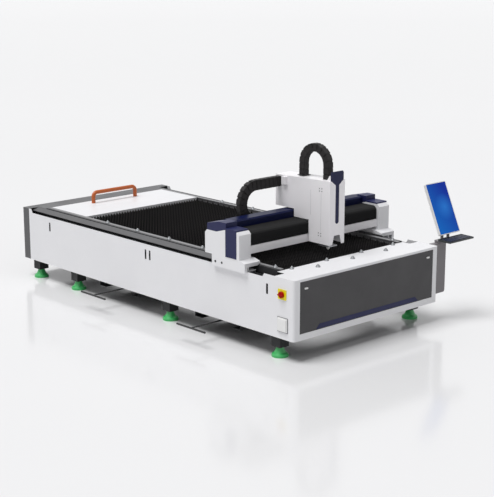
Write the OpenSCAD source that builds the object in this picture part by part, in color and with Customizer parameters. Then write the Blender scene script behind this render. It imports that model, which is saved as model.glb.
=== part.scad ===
// Open flat-bed laser cutting machine: welded bed with slats, travelling gantry, cross carriage
// and cutting head, with a console on the right side.
// X runs across the bed, Y from the front face to the rear, Z up from the floor.

/* [Bed] */
// Width over the side panels
bed_w = 2250; // [2150:10:2400]
// Length from the front face to the rear cap
bed_l = 4890; // [4700:10:5200]
// Height of the strips beside the slats
deck_z = 890; // [880:2:920]
// Height of the lower edge of the panels
skirt_z = 232; // [228:1:245]
// Thickness of the sheet covers
sheet = 4; // [3:0.5:5]
// Length of the front cover along its sides
front_l = 440; // [420:5:470]
// Height of the front cover
front_z = 875; // [860:1:880]
// Depth of the front cover's top plate
front_top_l = 400; // [380:5:410]
// Radius of the front cover's upright corners
corner_r = 30; // [15:1:45]
// How far the side panels' top edge lies under the strips
panel_drop = 52; // [44:1:56]
// Length of the rear cap along its sides
cap_l = 128; // [100:2:150]
// Length of the rear cap's top band
band_l = 290; // [250:5:320]
// Length of the rear deck plate
rear_deck_l = 740; // [650:10:800]

/* [Side strips] */
// Width of the strip that carries the ball units
strip_w = 85; // [80:1:95]
// Width of a rail cover
cover_w = 91; // [88:1:96]
// Width of the open groove between rail cover and side panel
groove_w = 54; // [50:1:60]
// How far a rail cover's top lies under the strips
cover_drop = 5; // [3:1:8]
// Number of ball units along one side
side_balls = 6; // [2:1:8]
// Radius of a ball
ball_r = 10; // [8:0.5:12]

/* [Slats] */
// Distance between slats
slat_pitch = 105; // [90:5:140]
// Distance between the teeth of a slat
tooth_pitch = 42; // [38:2:60]
// Depth of a tooth
tooth_d = 30; // [15:1:40]
// Height of a slat
slat_h = 120; // [100:5:140]
// Thickness of a slat
slat_t = 5; // [4:0.5:6]

/* [Feet] */
// Radius of a foot's base
foot_r = 90; // [70:2:100]
// Height of a foot
foot_h = 110; // [95:1:125]
// Side of a square leg block
leg_w = 130; // [110:2:140]
// Radius of a foot's stud
stud_r = 18; // [14:1:24]

/* [Drawers] */
// Width of a scrap drawer
drawer_w = 480; // [440:10:520]
// Height of a scrap drawer
drawer_h = 78; // [60:2:80]
// Reach of a T-handle past the side panel
handle_reach = 347; // [247:10:447]
// Length of a T-handle's bar
bar_l = 460; // [300:10:500]
// Radius of a T-handle's bar
bar_r = 11; // [8:1:14]

/* [Front panel] */
// Width of the white frame beside the dark front panel
panel_side = 87; // [80:1:175]
// Height of the dark front panel
front_panel_h = 546; // [480:2:560]
// Height of the blue stripe
stripe_h = 52; // [30:2:80]
// Width of a latch grip
latch_w = 46; // [30:2:60]

/* [Gantry] */
// Distance of the beam's front lip from the front face, at rest
gantry_y = 815; // [790:5:840]
// Depth of the beam from lip to rear face
beam_d = 390; // [370:5:420]
// Height of the beam's underside
beam_z = 985; // [975:1:1000]
// Height of the beam
beam_h = 215; // [210:1:225]
// Height of the front lip
lip_h = 85; // [70:1:88]
// How far the end covers' inner faces lie inside the bed's sides
span_in = 125; // [115:1:145]
// Height of the blue beam cover
beam_cover_h = 105; // [80:1:108]
// Depth of a bellows pleat
pleat_d = 7; // [3:1:9]
// Number of pleats in one bellows
pleats = 22; // [10:1:26]

/* [Head] */
// Width of the head housing
house_w = 230; // [210:2:250]
// Height of the housing's lower edge
house_z = 990; // [985:1:1000]
// Height of the housing at its front
house_top = 1690; // [1680:2:1720]
// Length of the housing in front of the beam lip
house_front = 325; // [310:5:345]
// Height of the blue trim over the housing
trim_rise = 100; // [60:2:130]
// Radius of the nozzle's ring
nozzle_r = 25; // [18:1:30]

/* [Chains] */
// Width of the drag chains
chain_w = 90; // [70:2:92]
// Width of the cross drag chain
cross_chain_w = 116; // [90:2:120]
// Thickness of the cross chain
cross_chain_h = 65; // [50:1:70]
// Bend radius of the cross chain
cross_bend_r = 195; // [175:1:195]
// Thickness of the head chain
head_chain_h = 70; // [50:1:72]
// Bend radius of the head chain
head_bend_r = 182; // [170:1:184]

/* [Console] */
// Distance of the console's middle from the side panel
console_out = 260; // [240:5:300]
// Width of the screen housing
monitor_w = 350; // [300:5:400]
// Height of the screen housing
monitor_h = 600; // [450:10:640]
// Thickness of the screen housing
monitor_t = 30; // [26:1:42]
// Lean of the screen from upright, in degrees
monitor_lean = 24; // [15:1:30]
// Width of the keyboard tray
tray_w = 410; // [390:5:460]
// Depth of the keyboard tray
tray_d = 180; // [170:5:220]
// Width of the column
column_w = 210; // [190:5:230]

/* [Hidden] */
$fn = 48;

// Clearances and cutting overrun
cut = 6;
run_gap = 0.3;
shaft_gap = 0.05;

// Bed, from the side panels inwards
half = bed_w / 2;
panel_in = half - sheet;
pinion_teeth = 20;
tooth_shares = [0.3, 0.15];
pinion_r = 20;
tooth_m = 2 * pinion_r / pinion_teeth;
pinion_or = pinion_r + tooth_m;
pinion_gap = 2;
pinion_x = panel_in - pinion_gap - pinion_or;
mesh_gap = 0.5;
rack_d = 22;
rack_h = 30;
rack_x1 = pinion_x - pinion_or - mesh_gap;
side_x1 = rack_x1 - rack_d;
cover_x1 = half - groove_w;
cover_x0 = cover_x1 - cover_w;
strip_gap = 10;
strip_x1 = cover_x0 - strip_gap;
strip_x0 = strip_x1 - strip_w;
strip_lip = 15;
side_x0 = strip_x0 + strip_lip;
rail_drop = 100;
side_top = deck_z - rail_drop;
side_h = 430;
side_bot = side_top - side_h;
cover_z = deck_z - cover_drop;
cover_fall = 27;
cover_ahead = 55;
panel_z = deck_z - panel_drop;
cap_y = bed_l - cap_l;
band_y = bed_l - band_l;
deck_y = band_y - rear_deck_l;
rail_start = 290;

// Frame members
tube_wall = 12;
bulk_y = 20;
bulk_t = 12;
bulk_low = 60;
cross_h = 80;
cross_d = 50;
deck_beam_h = 136;
deck_beam_d = 30;
deck_beam_in = 20;
deck_skirt = 70;
ledge_w = 50;
ledge_h = 20;

// Feet, along one side from the front
foot_in = 100;
foot_x = half - foot_in;
foot_front = 300;
foot_rear = 210;
foot_mid_shares = [0.427, 0.791];
foot_ys = [foot_front, bed_l * foot_mid_shares[0], bed_l * foot_mid_shares[1], bed_l - foot_rear];
foot_shares = [0.2, 0.3, 0.42, 0.72, 0.9];
foot_neck_shares = [0.92, 0.7, 0.52, 0.44, 0.38];
stud_len = 90;
lug_z = 40;
lug_h = 50;
lug_w = 60;

// Slots in the side panels
slot_w = 30;
slot_r = 5;
slot_h = 112;
slot_drop = 236;
slot_rear = 580;
slot_mid_share = 0.4907;
slot_pair = 75;
slot_front = 395;
tab_l = 50;
tab_run = 25;

// Slats and combs
slat_gap = 0.3;
slat_in = 5;
slat_half = strip_x0 - slat_in;
comb_t = 6;
comb_in = 10;
comb_x1 = slat_half - comb_in;
comb_x0 = comb_x1 - comb_t;
slat_top = deck_z - cover_drop;
slat_bot = slat_top - slat_h;
slat_front = 45;
slat_count = floor((deck_y - front_top_l - 2 * slat_front) / slat_pitch) + 1;
tooth_count = floor(2 * slat_half / tooth_pitch);
tooth_start = -tooth_count * tooth_pitch / 2;
comb_hold = 60;

// Ball units
cup_r = 26;
cup_rim_r = 14;
cup_base_h = 4;
cup_h = 22;
ball_lift = 22;
side_ball_first = 490;
side_ball_pitch = 580;
side_ball_in = 30;
row_a_back = 24;
row_b_back = 150;
row_a_shares = [-0.702, -0.24, 0.24, 0.702];
row_b_shares = [-0.471, 0, 0.471];

// Handle on the rear deck
grip_r = 25;
grip_half = 335;
grip_rise = 160;
grip_bend_r = 55;
grip_back = 130;

// Drawers
drawer_wall = 3;
drawer_flange = 45;
drawer_in = 225;
drawer_x = half - drawer_in;
drawer_top_gap = 4;
drawer_top = skirt_z - drawer_top_gap;
drawer_bot = drawer_top - drawer_h;
drawer_shares = [0.2454, 0.6033];
guide_w = 120;
guide_t = 4;
guide_h = 62;
guide_bot = skirt_z - guide_h;
guide_top = skirt_z;
guide_in = 25;
guide_side = 10;
hanger_l = 110;
hanger_in = 205;
stem_r = 9;
stem_z = drawer_bot + drawer_h / 2;
bar_x = -(half + handle_reach);

// Front panel, stripe and latches
front_panel_w = bed_w - 2 * panel_side;
panel_gap = 2;
panel_mid_z = 574;
panel_lip_y = 2;
stripe_t = 2;
stripe_bottom_share = 0.775;
stripe_top_share = 0.722;
stripe_lift = 6;
latch_h = 18;
latch_t = 8;
latch_r = 9;
latch_in = 86;
latch_drop = 75;
latch_shaft_l = 14;

// Switch and hatch on the left wall
switch_y = 168;
switch_z = 705;
switch_w = 119;
switch_h = 106;
switch_t = 8;
switch_r = 8;
knob_r = 34;
knob_h = 20;
knob_grip_w = 14;
knob_grip_h = 14;
knob_shaft_r = 7;
hatch_y = 160;
hatch_z = 386;
hatch_w = 140;
hatch_h = 146;
hatch_t = 20;
hatch_rim = 10;
hatch_r = 8;

// Gantry, in the machine's own Y and Z
lip_d = 57;
beam_face_y = gantry_y + lip_d;
beam_rear_y = gantry_y + beam_d;
beam_top = beam_z + beam_h;
lip_top = beam_z + lip_h;
span_half = half - span_in;
end_over = 40;
end_x1 = half + end_over;
foot_out_gap = 5;
skirt_t = end_x1 - half - foot_out_gap;
foot_top = 950;
foot_drop = 62;
foot_low = deck_z - foot_drop;
foot_dip = 2;
foot_fore = 125;
foot_aft = 392;
foot_y0 = gantry_y - foot_fore;
foot_y1 = gantry_y + foot_aft;
foot_nose = 80;
foot_nose_drop = 22;
foot_in_x = 180;
foot_over_x = 140;
foot_over_lift = 23;
block_w = 60;
block_h = 34;
block_lift = 8;
block_l = 100;
block_side = 8;
rail_w = 30;
rail_h = 26;
rail_x = cover_x0 + block_side + block_w / 2;
block_z1 = side_top + block_lift + block_h;
saddle_t = 10;
saddle_end = 20;
web_t = 20;
web_window = 60;
pinion_aft = 145;
pinion_y = gantry_y + pinion_aft;
pinion_h = 26;
pinion_drop = 50;
pinion_z = side_top - pinion_drop;
shaft_r = 8;
shaft_hole_r = 14;
motor_w = 84;
motor_flange_h = 90;
motor_flange_w = 92;
motor_h = 130;
end_fore = 40;
end_aft = 500;
end_y0 = gantry_y - end_fore;
end_y1 = gantry_y + end_aft;
end_lift = 2;
end_nose_lift = 45;
end_nose_l = 172;
end_slope_l = 150;
end_top = beam_top + end_lift;
end_nose_top = beam_top + end_nose_lift;
end_nose_y = gantry_y + end_nose_l;
end_chamfer = 30;
trim_t = 4;
trim_in = 2;
trim_y0 = gantry_y + trim_in;
trim_y1 = end_nose_y;
trim_low = 6;
trim_wrap_h = 16;
cap_low_h = 72;
cap_ridge_h = 113;
cap_ridge_l = 118;
bellows_t = 14;
bellows_in = 3;
bellows_gap = 5;
bellows_y = gantry_y + bellows_in;
bellows_low = lip_top + bellows_gap;
bellows_lift = 8;
bellows_nose = 34;
cover_back = 225;
cover_y0 = gantry_y + cover_back;
bellows_rear = cover_y0 - sheet;
cover_chamfer = 15;
cross_rail_h = 20;
cross_rail_w = 23;
cross_rail_low = 32;
cross_rail_high = 32;
cross_rail_zs = [lip_top + cross_rail_low, beam_top - cross_rail_high];

// Cross carriage and housing
house_half = house_w / 2;
house_y0 = gantry_y - house_front;
house_off = 9;
house_aft = 510;
house_back = gantry_y - house_off;
house_y1 = gantry_y + house_aft;
house_fall = 22;
house_gap = 13;
house_step = 30;
house_step_gap = 6;
house_under = beam_top + beam_cover_h + house_gap;
carriage_in = 10;
carriage_half = house_half - carriage_in;
carriage_t = 32;
carriage_gap = 8;
carriage_rise = 22;
carriage_low = lip_top + carriage_gap;
carriage_high = beam_top + carriage_rise;
cross_block_w = 50;
cross_block_t = 28;
cross_block_l = 70;
notch_top_share = 0.8;
notch_slot_share = 0.25;
notch_v = 50;
slot_low = 445;
arch_low_share = 0.62;
arch_top_share = 0.38;
arch_h = 100;
trim_plate_t = 6;
trim_lap = 6;
trim_corner = 16;
hood_drop = 45;
hood_d = 62;
hood_top_d = 26;
bracket_out = 30;
bracket_d = 65;
bracket_h = 85;
bracket_lift = 18;

// Chains
chain_off = 2;
cross_chain_y0 = beam_rear_y + chain_off;
cross_top_z = 1597;
cross_low_z = cross_top_z - 2 * cross_bend_r;
cross_bend_x = -490;
cross_low_x = 0;
cross_links = 8;
cross_bend_links = 9;
head_links = 3;
head_bend_links = 9;
head_low_links = 4;
link_core_share = 0.82;
link_lap = 4;
link_body_share = 0.78;
chain_fore = 144;
head_chain_front = house_y0 + chain_fore;
head_chain_rear = head_chain_front + 2 * head_bend_r;
head_bend_z = 1843;
head_seat_z = 1600;
chain_slot_gap = 6;
flange_t = 8;
flange_lap = 12;

// Chain tray behind the beam
tray_wall = 6;
chain_tray_gap = 3;
chain_tray_z = cross_low_z - cross_chain_h / 2 - chain_tray_gap;
chain_tray_lip = 25;
chain_tray_in = 50;
chain_side_gap = 12;

// Vertical axis and cutting head
head_rail_x = 60;
head_rail_w = 20;
head_rail_h = 20;
head_rail_low = 20;
head_rail_l = 550;
screw_r = 10;
screw_back = 26;
screw_low = 22;
head_motor_w = 84;
head_motor_h = 94;
slide_half = 80;
slide_t = 20;
slide_low = 90;
slide_h = 320;
head_block_t = 40;
head_block_w = 44;
nut_w = 50;
nut_h = 40;
nut_lift = 120;
head_aft = 128;
head_y = house_y0 + head_aft;
head_half = 48;
head_front = 48;
head_low = 160;
head_h = 270;
barrel_r = 38;
plate_half = 70;
plate_t = 10;
plate_gap = 25;
plate_front = 73;
plate_rear = 82;
seat_half = 45;
seat_t = 10;
seat_front = 23;
post_half = 20;
post_t = 40;
seat_back_gap = 5;
ring_h = 20;
tip_r = 8;
tip_h = 25;
bore_r = 2;

// Console
console_x = half + console_out;
column_y = 60;
column_d = 70;
column_top = 880;
column_h = 580;
column_r = 25;
pivot_x = half + column_w / 2;
pivot_y = column_y + column_d / 2;
pin_r = 18;
pin_l = 60;
pin_flange_r = 32;
pin_flange_h = 12;
arm_t = 18;
arm_d = 64;
arm_lap = 30;
arm_out = 60;
arm_z = column_top + run_gap + pin_flange_h;
tray_z = arm_z + arm_t;
tray_over = 205;
tray_x1 = console_x + tray_over;
tray_x0 = tray_x1 - tray_w;
tray_off = 45;
tray_y1 = pivot_y - tray_off;
tray_y0 = tray_y1 - tray_d;
tray_h = 24;
tray_front_h = 12;
tray_edge = 8;
key_rows = 5;
key_cols = 14;
keyboard_t = 8;
keyboard_margin = 22;
key_share = 0.8;
key_h = 3;
tilt_aft = 25;
tilt_rise = 67;
tilt_y = pivot_y + tilt_aft;
tilt_z = arm_z + tilt_rise;
ear_t = 15;
ear_w = 32;
knuckle_half = 45;
tilt_pin_r = 7;
monitor_front = 75;
monitor_low = 20;
monitor_r = 12;
bezel = 9;
screen_t = 3;

// The box of the whole machine is centred on the Z axis
mid_x = (tray_x1 + bar_x - bar_r) / 2;
mid_y = (bed_l + tray_y0) / 2;

// Helpers
module place() { translate([-mid_x, -mid_y, 0]) children(); }
module both_sides() {
    children();
    mirror([1, 0, 0]) children();
}
module box(lo, hi) { translate(lo) cube(hi - lo); }
module along_x(x0, x1) { translate([x0, 0, 0]) rotate([90, 0, 90]) linear_extrude(x1 - x0) children(); }
module along_y(y0, y1) { translate([0, y1, 0]) rotate([90, 0, 0]) linear_extrude(y1 - y0) children(); }
module along_z(z0, z1) { translate([0, 0, z0]) linear_extrude(z1 - z0) children(); }
module round_rect(lo, hi, r) {
    translate([lo.x + r, lo.y]) square([hi.x - lo.x - 2 * r, hi.y - lo.y]);
    translate([lo.x, lo.y + r]) square([hi.x - lo.x, hi.y - lo.y - 2 * r]);
    for (x = [lo.x + r, hi.x - r], y = [lo.y + r, hi.y - r]) translate([x, y]) circle(r);
}
module rod_x(x0, x1, y, z, r) { translate([x0, y, z]) rotate([0, 90, 0]) cylinder(h = x1 - x0, r = r); }
module rod_y(x, y0, y1, z, r) { translate([x, y1, z]) rotate([90, 0, 0]) cylinder(h = y1 - y0, r = r); }
module rod_z(x, y, z0, z1, r) { translate([x, y, z0]) cylinder(h = z1 - z0, r = r); }

// Bed frame: two side beams, cross tubes, end bulkheads, deck beams and comb ledges
module bed_frame() {
    color("#202124") place() {
        both_sides() {
            difference() {
                box([side_x0, bulk_y, side_bot], [side_x1, cap_y - sheet, side_top]);
                box([side_x0 + tube_wall, bulk_y - cut, side_bot + tube_wall],
                    [side_x1 - tube_wall, cap_y - sheet + cut, side_top - tube_wall]);
            }
            box([side_x0 - ledge_w, front_top_l, slat_bot - ledge_h], [side_x0, deck_y, slat_bot]);
        }
        for (y = foot_ys) {
            box([-side_x0, y - cross_d / 2, side_bot], [side_x0, y + cross_d / 2, side_bot + cross_h]);
        }
        box([-side_x0, bulk_y, skirt_z + bulk_low], [side_x0, bulk_y + bulk_t, front_z - sheet]);
        box([-side_x0, cap_y - sheet - bulk_t, side_bot], [side_x0, cap_y - sheet, cover_z - sheet]);
        for (y = [deck_y + deck_beam_in, band_y - deck_beam_in - deck_beam_d]) {
            box([-side_x0, y, deck_z - sheet - deck_beam_h], [side_x0, y + deck_beam_d, deck_z - sheet]);
        }
    }
}

// One leg block with a lug that carries the panel
module leg_block() {
    difference() {
        union() {
            box([foot_x - leg_w / 2, -leg_w / 2, foot_h], [foot_x + leg_w / 2, leg_w / 2, side_bot]);
            box([foot_x, -lug_w / 2, skirt_z + lug_z], [panel_in, lug_w / 2, skirt_z + lug_z + lug_h]);
        }
        rod_z(foot_x, 0, foot_h - cut, foot_h + stud_len + cut, stud_r + run_gap);
    }
}
module leg_blocks() {
    color("#17181A") place() for (y = foot_ys) both_sides() translate([0, y, 0]) leg_block();
}

// Levelling foot: bell-shaped pad with its stud
module foot() {
    rotate_extrude() polygon(concat(
        [[0, 0], [foot_r, 0], [foot_r, foot_h * foot_shares[0]]],
        [for (i = [0 : 3]) [foot_r * foot_neck_shares[i], foot_h * foot_shares[i + 1]]],
        [[foot_r * foot_neck_shares[4], foot_h], [stud_r, foot_h], [stud_r, foot_h + stud_len], [0, foot_h + stud_len]]
    ));
}
module feet() {
    color("#3FB763") place() for (y = foot_ys) both_sides() translate([foot_x, y, 0]) foot();
}

// Side panels with their upright slots and raised rear tab
module panel_slot(y) {
    translate([y, panel_z - slot_drop / 2]) {
        round_rect([-slot_w / 2, -slot_h / 2], [slot_w / 2, slot_h / 2], slot_r);
    }
}
module side_panel() {
    along_x(panel_in, half) difference() {
        polygon([
            [front_l, skirt_z], [cap_y, skirt_z], [cap_y, cover_z], [cap_y - tab_l, cover_z],
            [cap_y - tab_l - tab_run, panel_z], [front_l + tab_run, panel_z], [front_l, front_z]
        ]);
        panel_slot(bed_l - slot_rear);
        panel_slot(bed_l * slot_mid_share);
        panel_slot(bed_l * slot_mid_share - slot_pair);
    }
}
module left_side_panel() { color("#E6E6E8") place() mirror([1, 0, 0]) side_panel(); }
module right_side_panel() { color("#E6E6E8") place() side_panel(); }

// Front cover: folded sheet with round upright corners, top plate and a window for the front panel
module front_plan(w, y0, y1, r) {
    translate([-w / 2 + r, y0]) square([w - 2 * r, y1 - y0]);
    translate([-w / 2, y0 + r]) square([w, y1 - y0 - r]);
    for (x = [-w / 2 + r, w / 2 - r]) translate([x, y0 + r]) circle(r);
}
module front_cover() {
    color("#F2F2F2") place() difference() {
        along_z(skirt_z, front_z) front_plan(bed_w, 0, front_l, corner_r);
        along_z(skirt_z - cut, front_z - sheet) {
            front_plan(bed_w - 2 * sheet, sheet, front_l + cut, corner_r - sheet);
        }
        box([-strip_x1 - strip_gap / 2, front_top_l, skirt_z], [strip_x1 + strip_gap / 2, front_l + cut, front_z + cut]);
        both_sides() box([strip_x1 + strip_gap / 2, rail_start, skirt_z], [panel_in, front_l + cut, front_z + cut]);
        box([-front_panel_w / 2 - panel_gap, -cut, panel_mid_z - front_panel_h / 2 - panel_gap],
            [front_panel_w / 2 + panel_gap, sheet + cut, panel_mid_z + front_panel_h / 2 + panel_gap]);
        both_sides() along_x(panel_in - cut, half + cut) panel_slot(slot_front);
        rod_x(-half - cut, -panel_in + cut, switch_y, switch_z, knob_shaft_r + run_gap);
    }
}

// Dark front panel, set into the window and backed by the bulkhead
module front_panel() {
    color("#494749") place() difference() {
        along_y(panel_lip_y, bulk_y) round_rect(
            [-front_panel_w / 2, panel_mid_z - front_panel_h / 2],
            [front_panel_w / 2, panel_mid_z + front_panel_h / 2], panel_gap);
        for (side = [-1, 1]) {
            rod_y(side * (front_panel_w / 2 - latch_in), -cut, panel_lip_y + latch_shaft_l + run_gap,
                panel_mid_z + front_panel_h / 2 - latch_drop, latch_r + shaft_gap);
        }
    }
}
module front_stripe() {
    stripe_z = panel_mid_z - front_panel_h / 2 + stripe_lift;
    color("#33315A") place() along_y(panel_lip_y - stripe_t, panel_lip_y) polygon([
        [-front_panel_w / 2 * stripe_bottom_share, stripe_z], [front_panel_w / 2 * stripe_bottom_share, stripe_z],
        [front_panel_w / 2 * stripe_top_share, stripe_z + stripe_h],
        [-front_panel_w / 2 * stripe_top_share, stripe_z + stripe_h]
    ]);
}

// Quarter-turn latch: round shaft and a flat grip
module latch(side) {
    translate([side * (front_panel_w / 2 - latch_in), panel_lip_y, panel_mid_z + front_panel_h / 2 - latch_drop]) {
        rod_y(0, -run_gap, latch_shaft_l, 0, latch_r);
        along_y(-run_gap - latch_t, -run_gap) {
            round_rect([-latch_w / 2, -latch_h / 2], [latch_w / 2, latch_h / 2], latch_h / 2 - run_gap);
        }
    }
}
module left_latch() { color("#EDEDED") place() latch(-1); }
module right_latch() { color("#EDEDED") place() latch(1); }

// Rear cap: folded dark sheet that closes the rear end, with a top band up to the deck plate
module rear_cap() {
    color("#6A6A6C") place() {
        difference() {
            box([-half, cap_y, skirt_z], [half, bed_l, cover_z]);
            box([-panel_in, cap_y - cut, skirt_z - cut], [panel_in, bed_l - sheet, cover_z - sheet]);
        }
        box([-strip_x1 - strip_gap / 2, band_y, cover_z - sheet], [strip_x1 + strip_gap / 2, cap_y, cover_z]);
    }
}
// Rear deck plate with a folded skirt behind the last slat
module rear_deck() {
    x1 = strip_x0 - run_gap;
    color("#F4F4F4") place() {
        box([-x1, deck_y, deck_z - sheet], [x1, band_y, deck_z]);
        box([-x1, deck_y, deck_z - deck_skirt], [x1, deck_y + sheet, deck_z]);
    }
}

// Bent tube handle on the rear deck
module pull_handle() {
    y = band_y - grip_back;
    top = deck_z + grip_rise - grip_r;
    color("#B95A2B") place() {
        for (side = [-1, 1]) {
            rod_z(side * grip_half, y, deck_z, top - grip_bend_r, grip_r);
            translate([side * (grip_half - grip_bend_r), y, top - grip_bend_r]) rotate([90, 0, side > 0 ? 0 : 180]) {
                rotate_extrude(angle = 90) translate([grip_bend_r, 0]) circle(grip_r);
            }
        }
        rod_x(-grip_half + grip_bend_r, grip_half - grip_bend_r, y, top, grip_r);
    }
}

// Strips beside the slats, with two legs on the side beam
module stud_strip() {
    along_y(front_top_l, band_y) {
        translate([strip_x0, deck_z - sheet]) square([strip_w, sheet]);
        for (x = [side_x0 + run_gap, strip_x1 - sheet]) translate([x, side_top]) square([sheet, rail_drop - sheet / 2]);
    }
}
module stud_strips() { color("#B9BABC") place() both_sides() stud_strip(); }

// Ball units: places on the front plate and along the strips
side_ball_spots = [
    for (k = [0 : side_balls - 1], side = [-1, 1])
        [side * (strip_x0 + side_ball_in), side_ball_first + k * side_ball_pitch, deck_z]
];
front_ball_spots = concat(
    [for (s = row_a_shares) [s * half, front_top_l - row_a_back, front_z]],
    [for (s = row_b_shares) [s * half, front_top_l - row_b_back, front_z]]
);
ball_spots = concat(side_ball_spots, front_ball_spots);
module ball_cups() {
    color("#C4C6C8") place() for (p = ball_spots) translate(p) difference() {
        rotate_extrude() polygon([[0, 0], [cup_r, 0], [cup_r, cup_base_h], [cup_rim_r, cup_h], [0, cup_h]]);
        translate([0, 0, ball_lift]) sphere(ball_r + run_gap);
    }
}
module ball_rollers() {
    color("#DADCDE") place() for (p = ball_spots) translate(p + [0, 0, ball_lift]) sphere(ball_r);
}

// Rail cover: cantilevered sheet that slopes over the rail, standing on one leg
module rail_covers() {
    color("#757577") place() both_sides() along_y(gantry_y - cover_ahead, cap_y) {
        polygon([
            [cover_x0, cover_z - sheet], [cover_x1, cover_z - cover_fall - sheet],
            [cover_x1, cover_z - cover_fall], [cover_x0, cover_z]
        ]);
        translate([cover_x0, side_top]) square([sheet, cover_z - side_top - sheet / 2]);
    }
}
module bed_rails() {
    waist = rail_w * rail_waist_share;
    color("#A8ABAE") place() both_sides() along_y(rail_start, cap_y - rail_start) translate([rail_x, side_top]) polygon([
        [-rail_w / 2, 0], [rail_w / 2, 0], [rail_w / 2, rail_h / 3], [waist / 2, rail_h / 2],
        [rail_w / 2, rail_h * rail_head_share], [rail_w / 2, rail_h], [-rail_w / 2, rail_h],
        [-rail_w / 2, rail_h * rail_head_share], [-waist / 2, rail_h / 2], [-rail_w / 2, rail_h / 3]
    ]);
}
rail_waist_share = 0.72;
rail_head_share = 0.68;
module bed_racks() {
    color("#7E8184") place() both_sides() {
        box([side_x1, rail_start, pinion_z - rack_h / 2], [rack_x1, cap_y - rail_start, pinion_z + rack_h / 2]);
    }
}

// Toothed slats standing in notched combs
slat_outline = concat(
    [[-slat_half, slat_bot + comb_hold], [-slat_half, slat_top - tooth_d]],
    [for (j = [0 : tooth_count - 1], p = [[0, tooth_d], [1 / 2, 0]])
        [tooth_start + (j + p.x) * tooth_pitch, slat_top - p.y]],
    [[-tooth_start, slat_top - tooth_d], [slat_half, slat_top - tooth_d], [slat_half, slat_bot + comb_hold],
     [comb_x0 - comb_in, slat_bot + comb_hold], [comb_x0 - comb_in, slat_bot],
     [-comb_x0 + comb_in, slat_bot], [-comb_x0 + comb_in, slat_bot + comb_hold]]
);
function slat_y(i) = front_top_l + slat_front + i * slat_pitch;
module slats() {
    color("#1C1C1E") place() for (i = [0 : slat_count - 1]) {
        along_y(slat_y(i), slat_y(i) + slat_t) polygon(slat_outline);
    }
}
module slat_combs() {
    color("#2A2B2D") place() both_sides() difference() {
        box([comb_x0, front_top_l, slat_bot], [comb_x1, deck_y, slat_top - tooth_d]);
        for (i = [0 : slat_count - 1]) {
            box([comb_x0 - cut, slat_y(i) - slat_gap, slat_bot + comb_hold],
                [comb_x1 + cut, slat_y(i) + slat_t + slat_gap, slat_top]);
        }
    }
}

// Channels that carry the drawers, hung from the side beams
drawer_ys = [for (s = drawer_shares) bed_l * s];
module drawer_guide() {
    y0 = drawer_w / 2 + guide_side;
    y1 = y0 + guide_w;
    along_x(-half + guide_in, side_x1 - guide_in) {
        translate([y0, guide_bot]) square([guide_w, guide_t]);
        translate([y1 - guide_t, guide_bot]) square([guide_t, guide_h]);
        translate([y0, guide_top - guide_t]) square([guide_w, guide_t]);
    }
    both_sides() box([half - hanger_in, y0, guide_top - guide_t / 2], [half - hanger_in + hanger_l, y1, side_bot]);
}
module drawer_guides() {
    color("#151617") place() for (y = drawer_ys) translate([0, y, 0]) {
        drawer_guide();
        mirror([0, 1, 0]) drawer_guide();
    }
}

// Scrap drawer: shallow tray with side flanges that run in the channels
module drawer(y) {
    translate([0, y, 0]) {
        difference() {
            box([-drawer_x, -drawer_w / 2, drawer_bot], [drawer_x, drawer_w / 2, drawer_top]);
            box([-drawer_x + drawer_wall, -drawer_w / 2 + drawer_wall, drawer_bot + drawer_wall],
                [drawer_x - drawer_wall, drawer_w / 2 - drawer_wall, drawer_top + cut]);
        }
        for (side = [0, 1]) mirror([0, side, 0]) {
            box([-drawer_x, drawer_w / 2 - drawer_wall, guide_bot + guide_t + run_gap],
                [drawer_x, drawer_w / 2 + drawer_flange, guide_bot + guide_t + run_gap + drawer_wall]);
        }
    }
}
module drawer_handle(y) {
    rod_x(bar_x, -drawer_x, y, stem_z, stem_r);
    rod_y(bar_x, y - bar_l / 2, y + bar_l / 2, stem_z, bar_r);
}
module front_drawer() { color("#3A3B3D") place() drawer(drawer_ys[0]); }
module front_drawer_handle() { color("#1B1B1B") place() drawer_handle(drawer_ys[0]); }
module rear_drawer() { color("#3A3B3D") place() drawer(drawer_ys[1]); }
module rear_drawer_handle() { color("#1B1B1B") place() drawer_handle(drawer_ys[1]); }

// Main switch on the left wall
module switch_plate() {
    color("#E3D016") place() difference() {
        along_x(-half - switch_t, -half) round_rect(
            [switch_y - switch_w / 2, switch_z - switch_h / 2],
            [switch_y + switch_w / 2, switch_z + switch_h / 2], switch_r);
        rod_x(-half - switch_t - cut, -half + cut, switch_y, switch_z, knob_shaft_r + shaft_gap);
    }
}
module switch_knob() {
    base = -half - switch_t - run_gap;
    color("#B00010") place() {
        rod_x(base, -panel_in, switch_y, switch_z, knob_shaft_r);
        rod_x(base - knob_h, base, switch_y, switch_z, knob_r);
        along_x(base - knob_h - knob_grip_h, base - knob_h) round_rect(
            [switch_y - knob_r, switch_z - knob_grip_w / 2],
            [switch_y + knob_r, switch_z + knob_grip_w / 2], knob_grip_w / 2 - run_gap);
    }
}
module socket_hatch() {
    color("#ECECEC") place() {
        along_x(-half - hatch_t / 2, -half) round_rect(
            [hatch_y - hatch_w / 2, hatch_z - hatch_h / 2], [hatch_y + hatch_w / 2, hatch_z + hatch_h / 2], hatch_r);
        along_x(-half - hatch_t, -half - hatch_t / 2) round_rect(
            [hatch_y - hatch_w / 2 + hatch_rim, hatch_z - hatch_h / 2 + hatch_rim],
            [hatch_y + hatch_w / 2 - hatch_rim, hatch_z + hatch_h / 2 - hatch_rim], hatch_r);
    }
}

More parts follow.
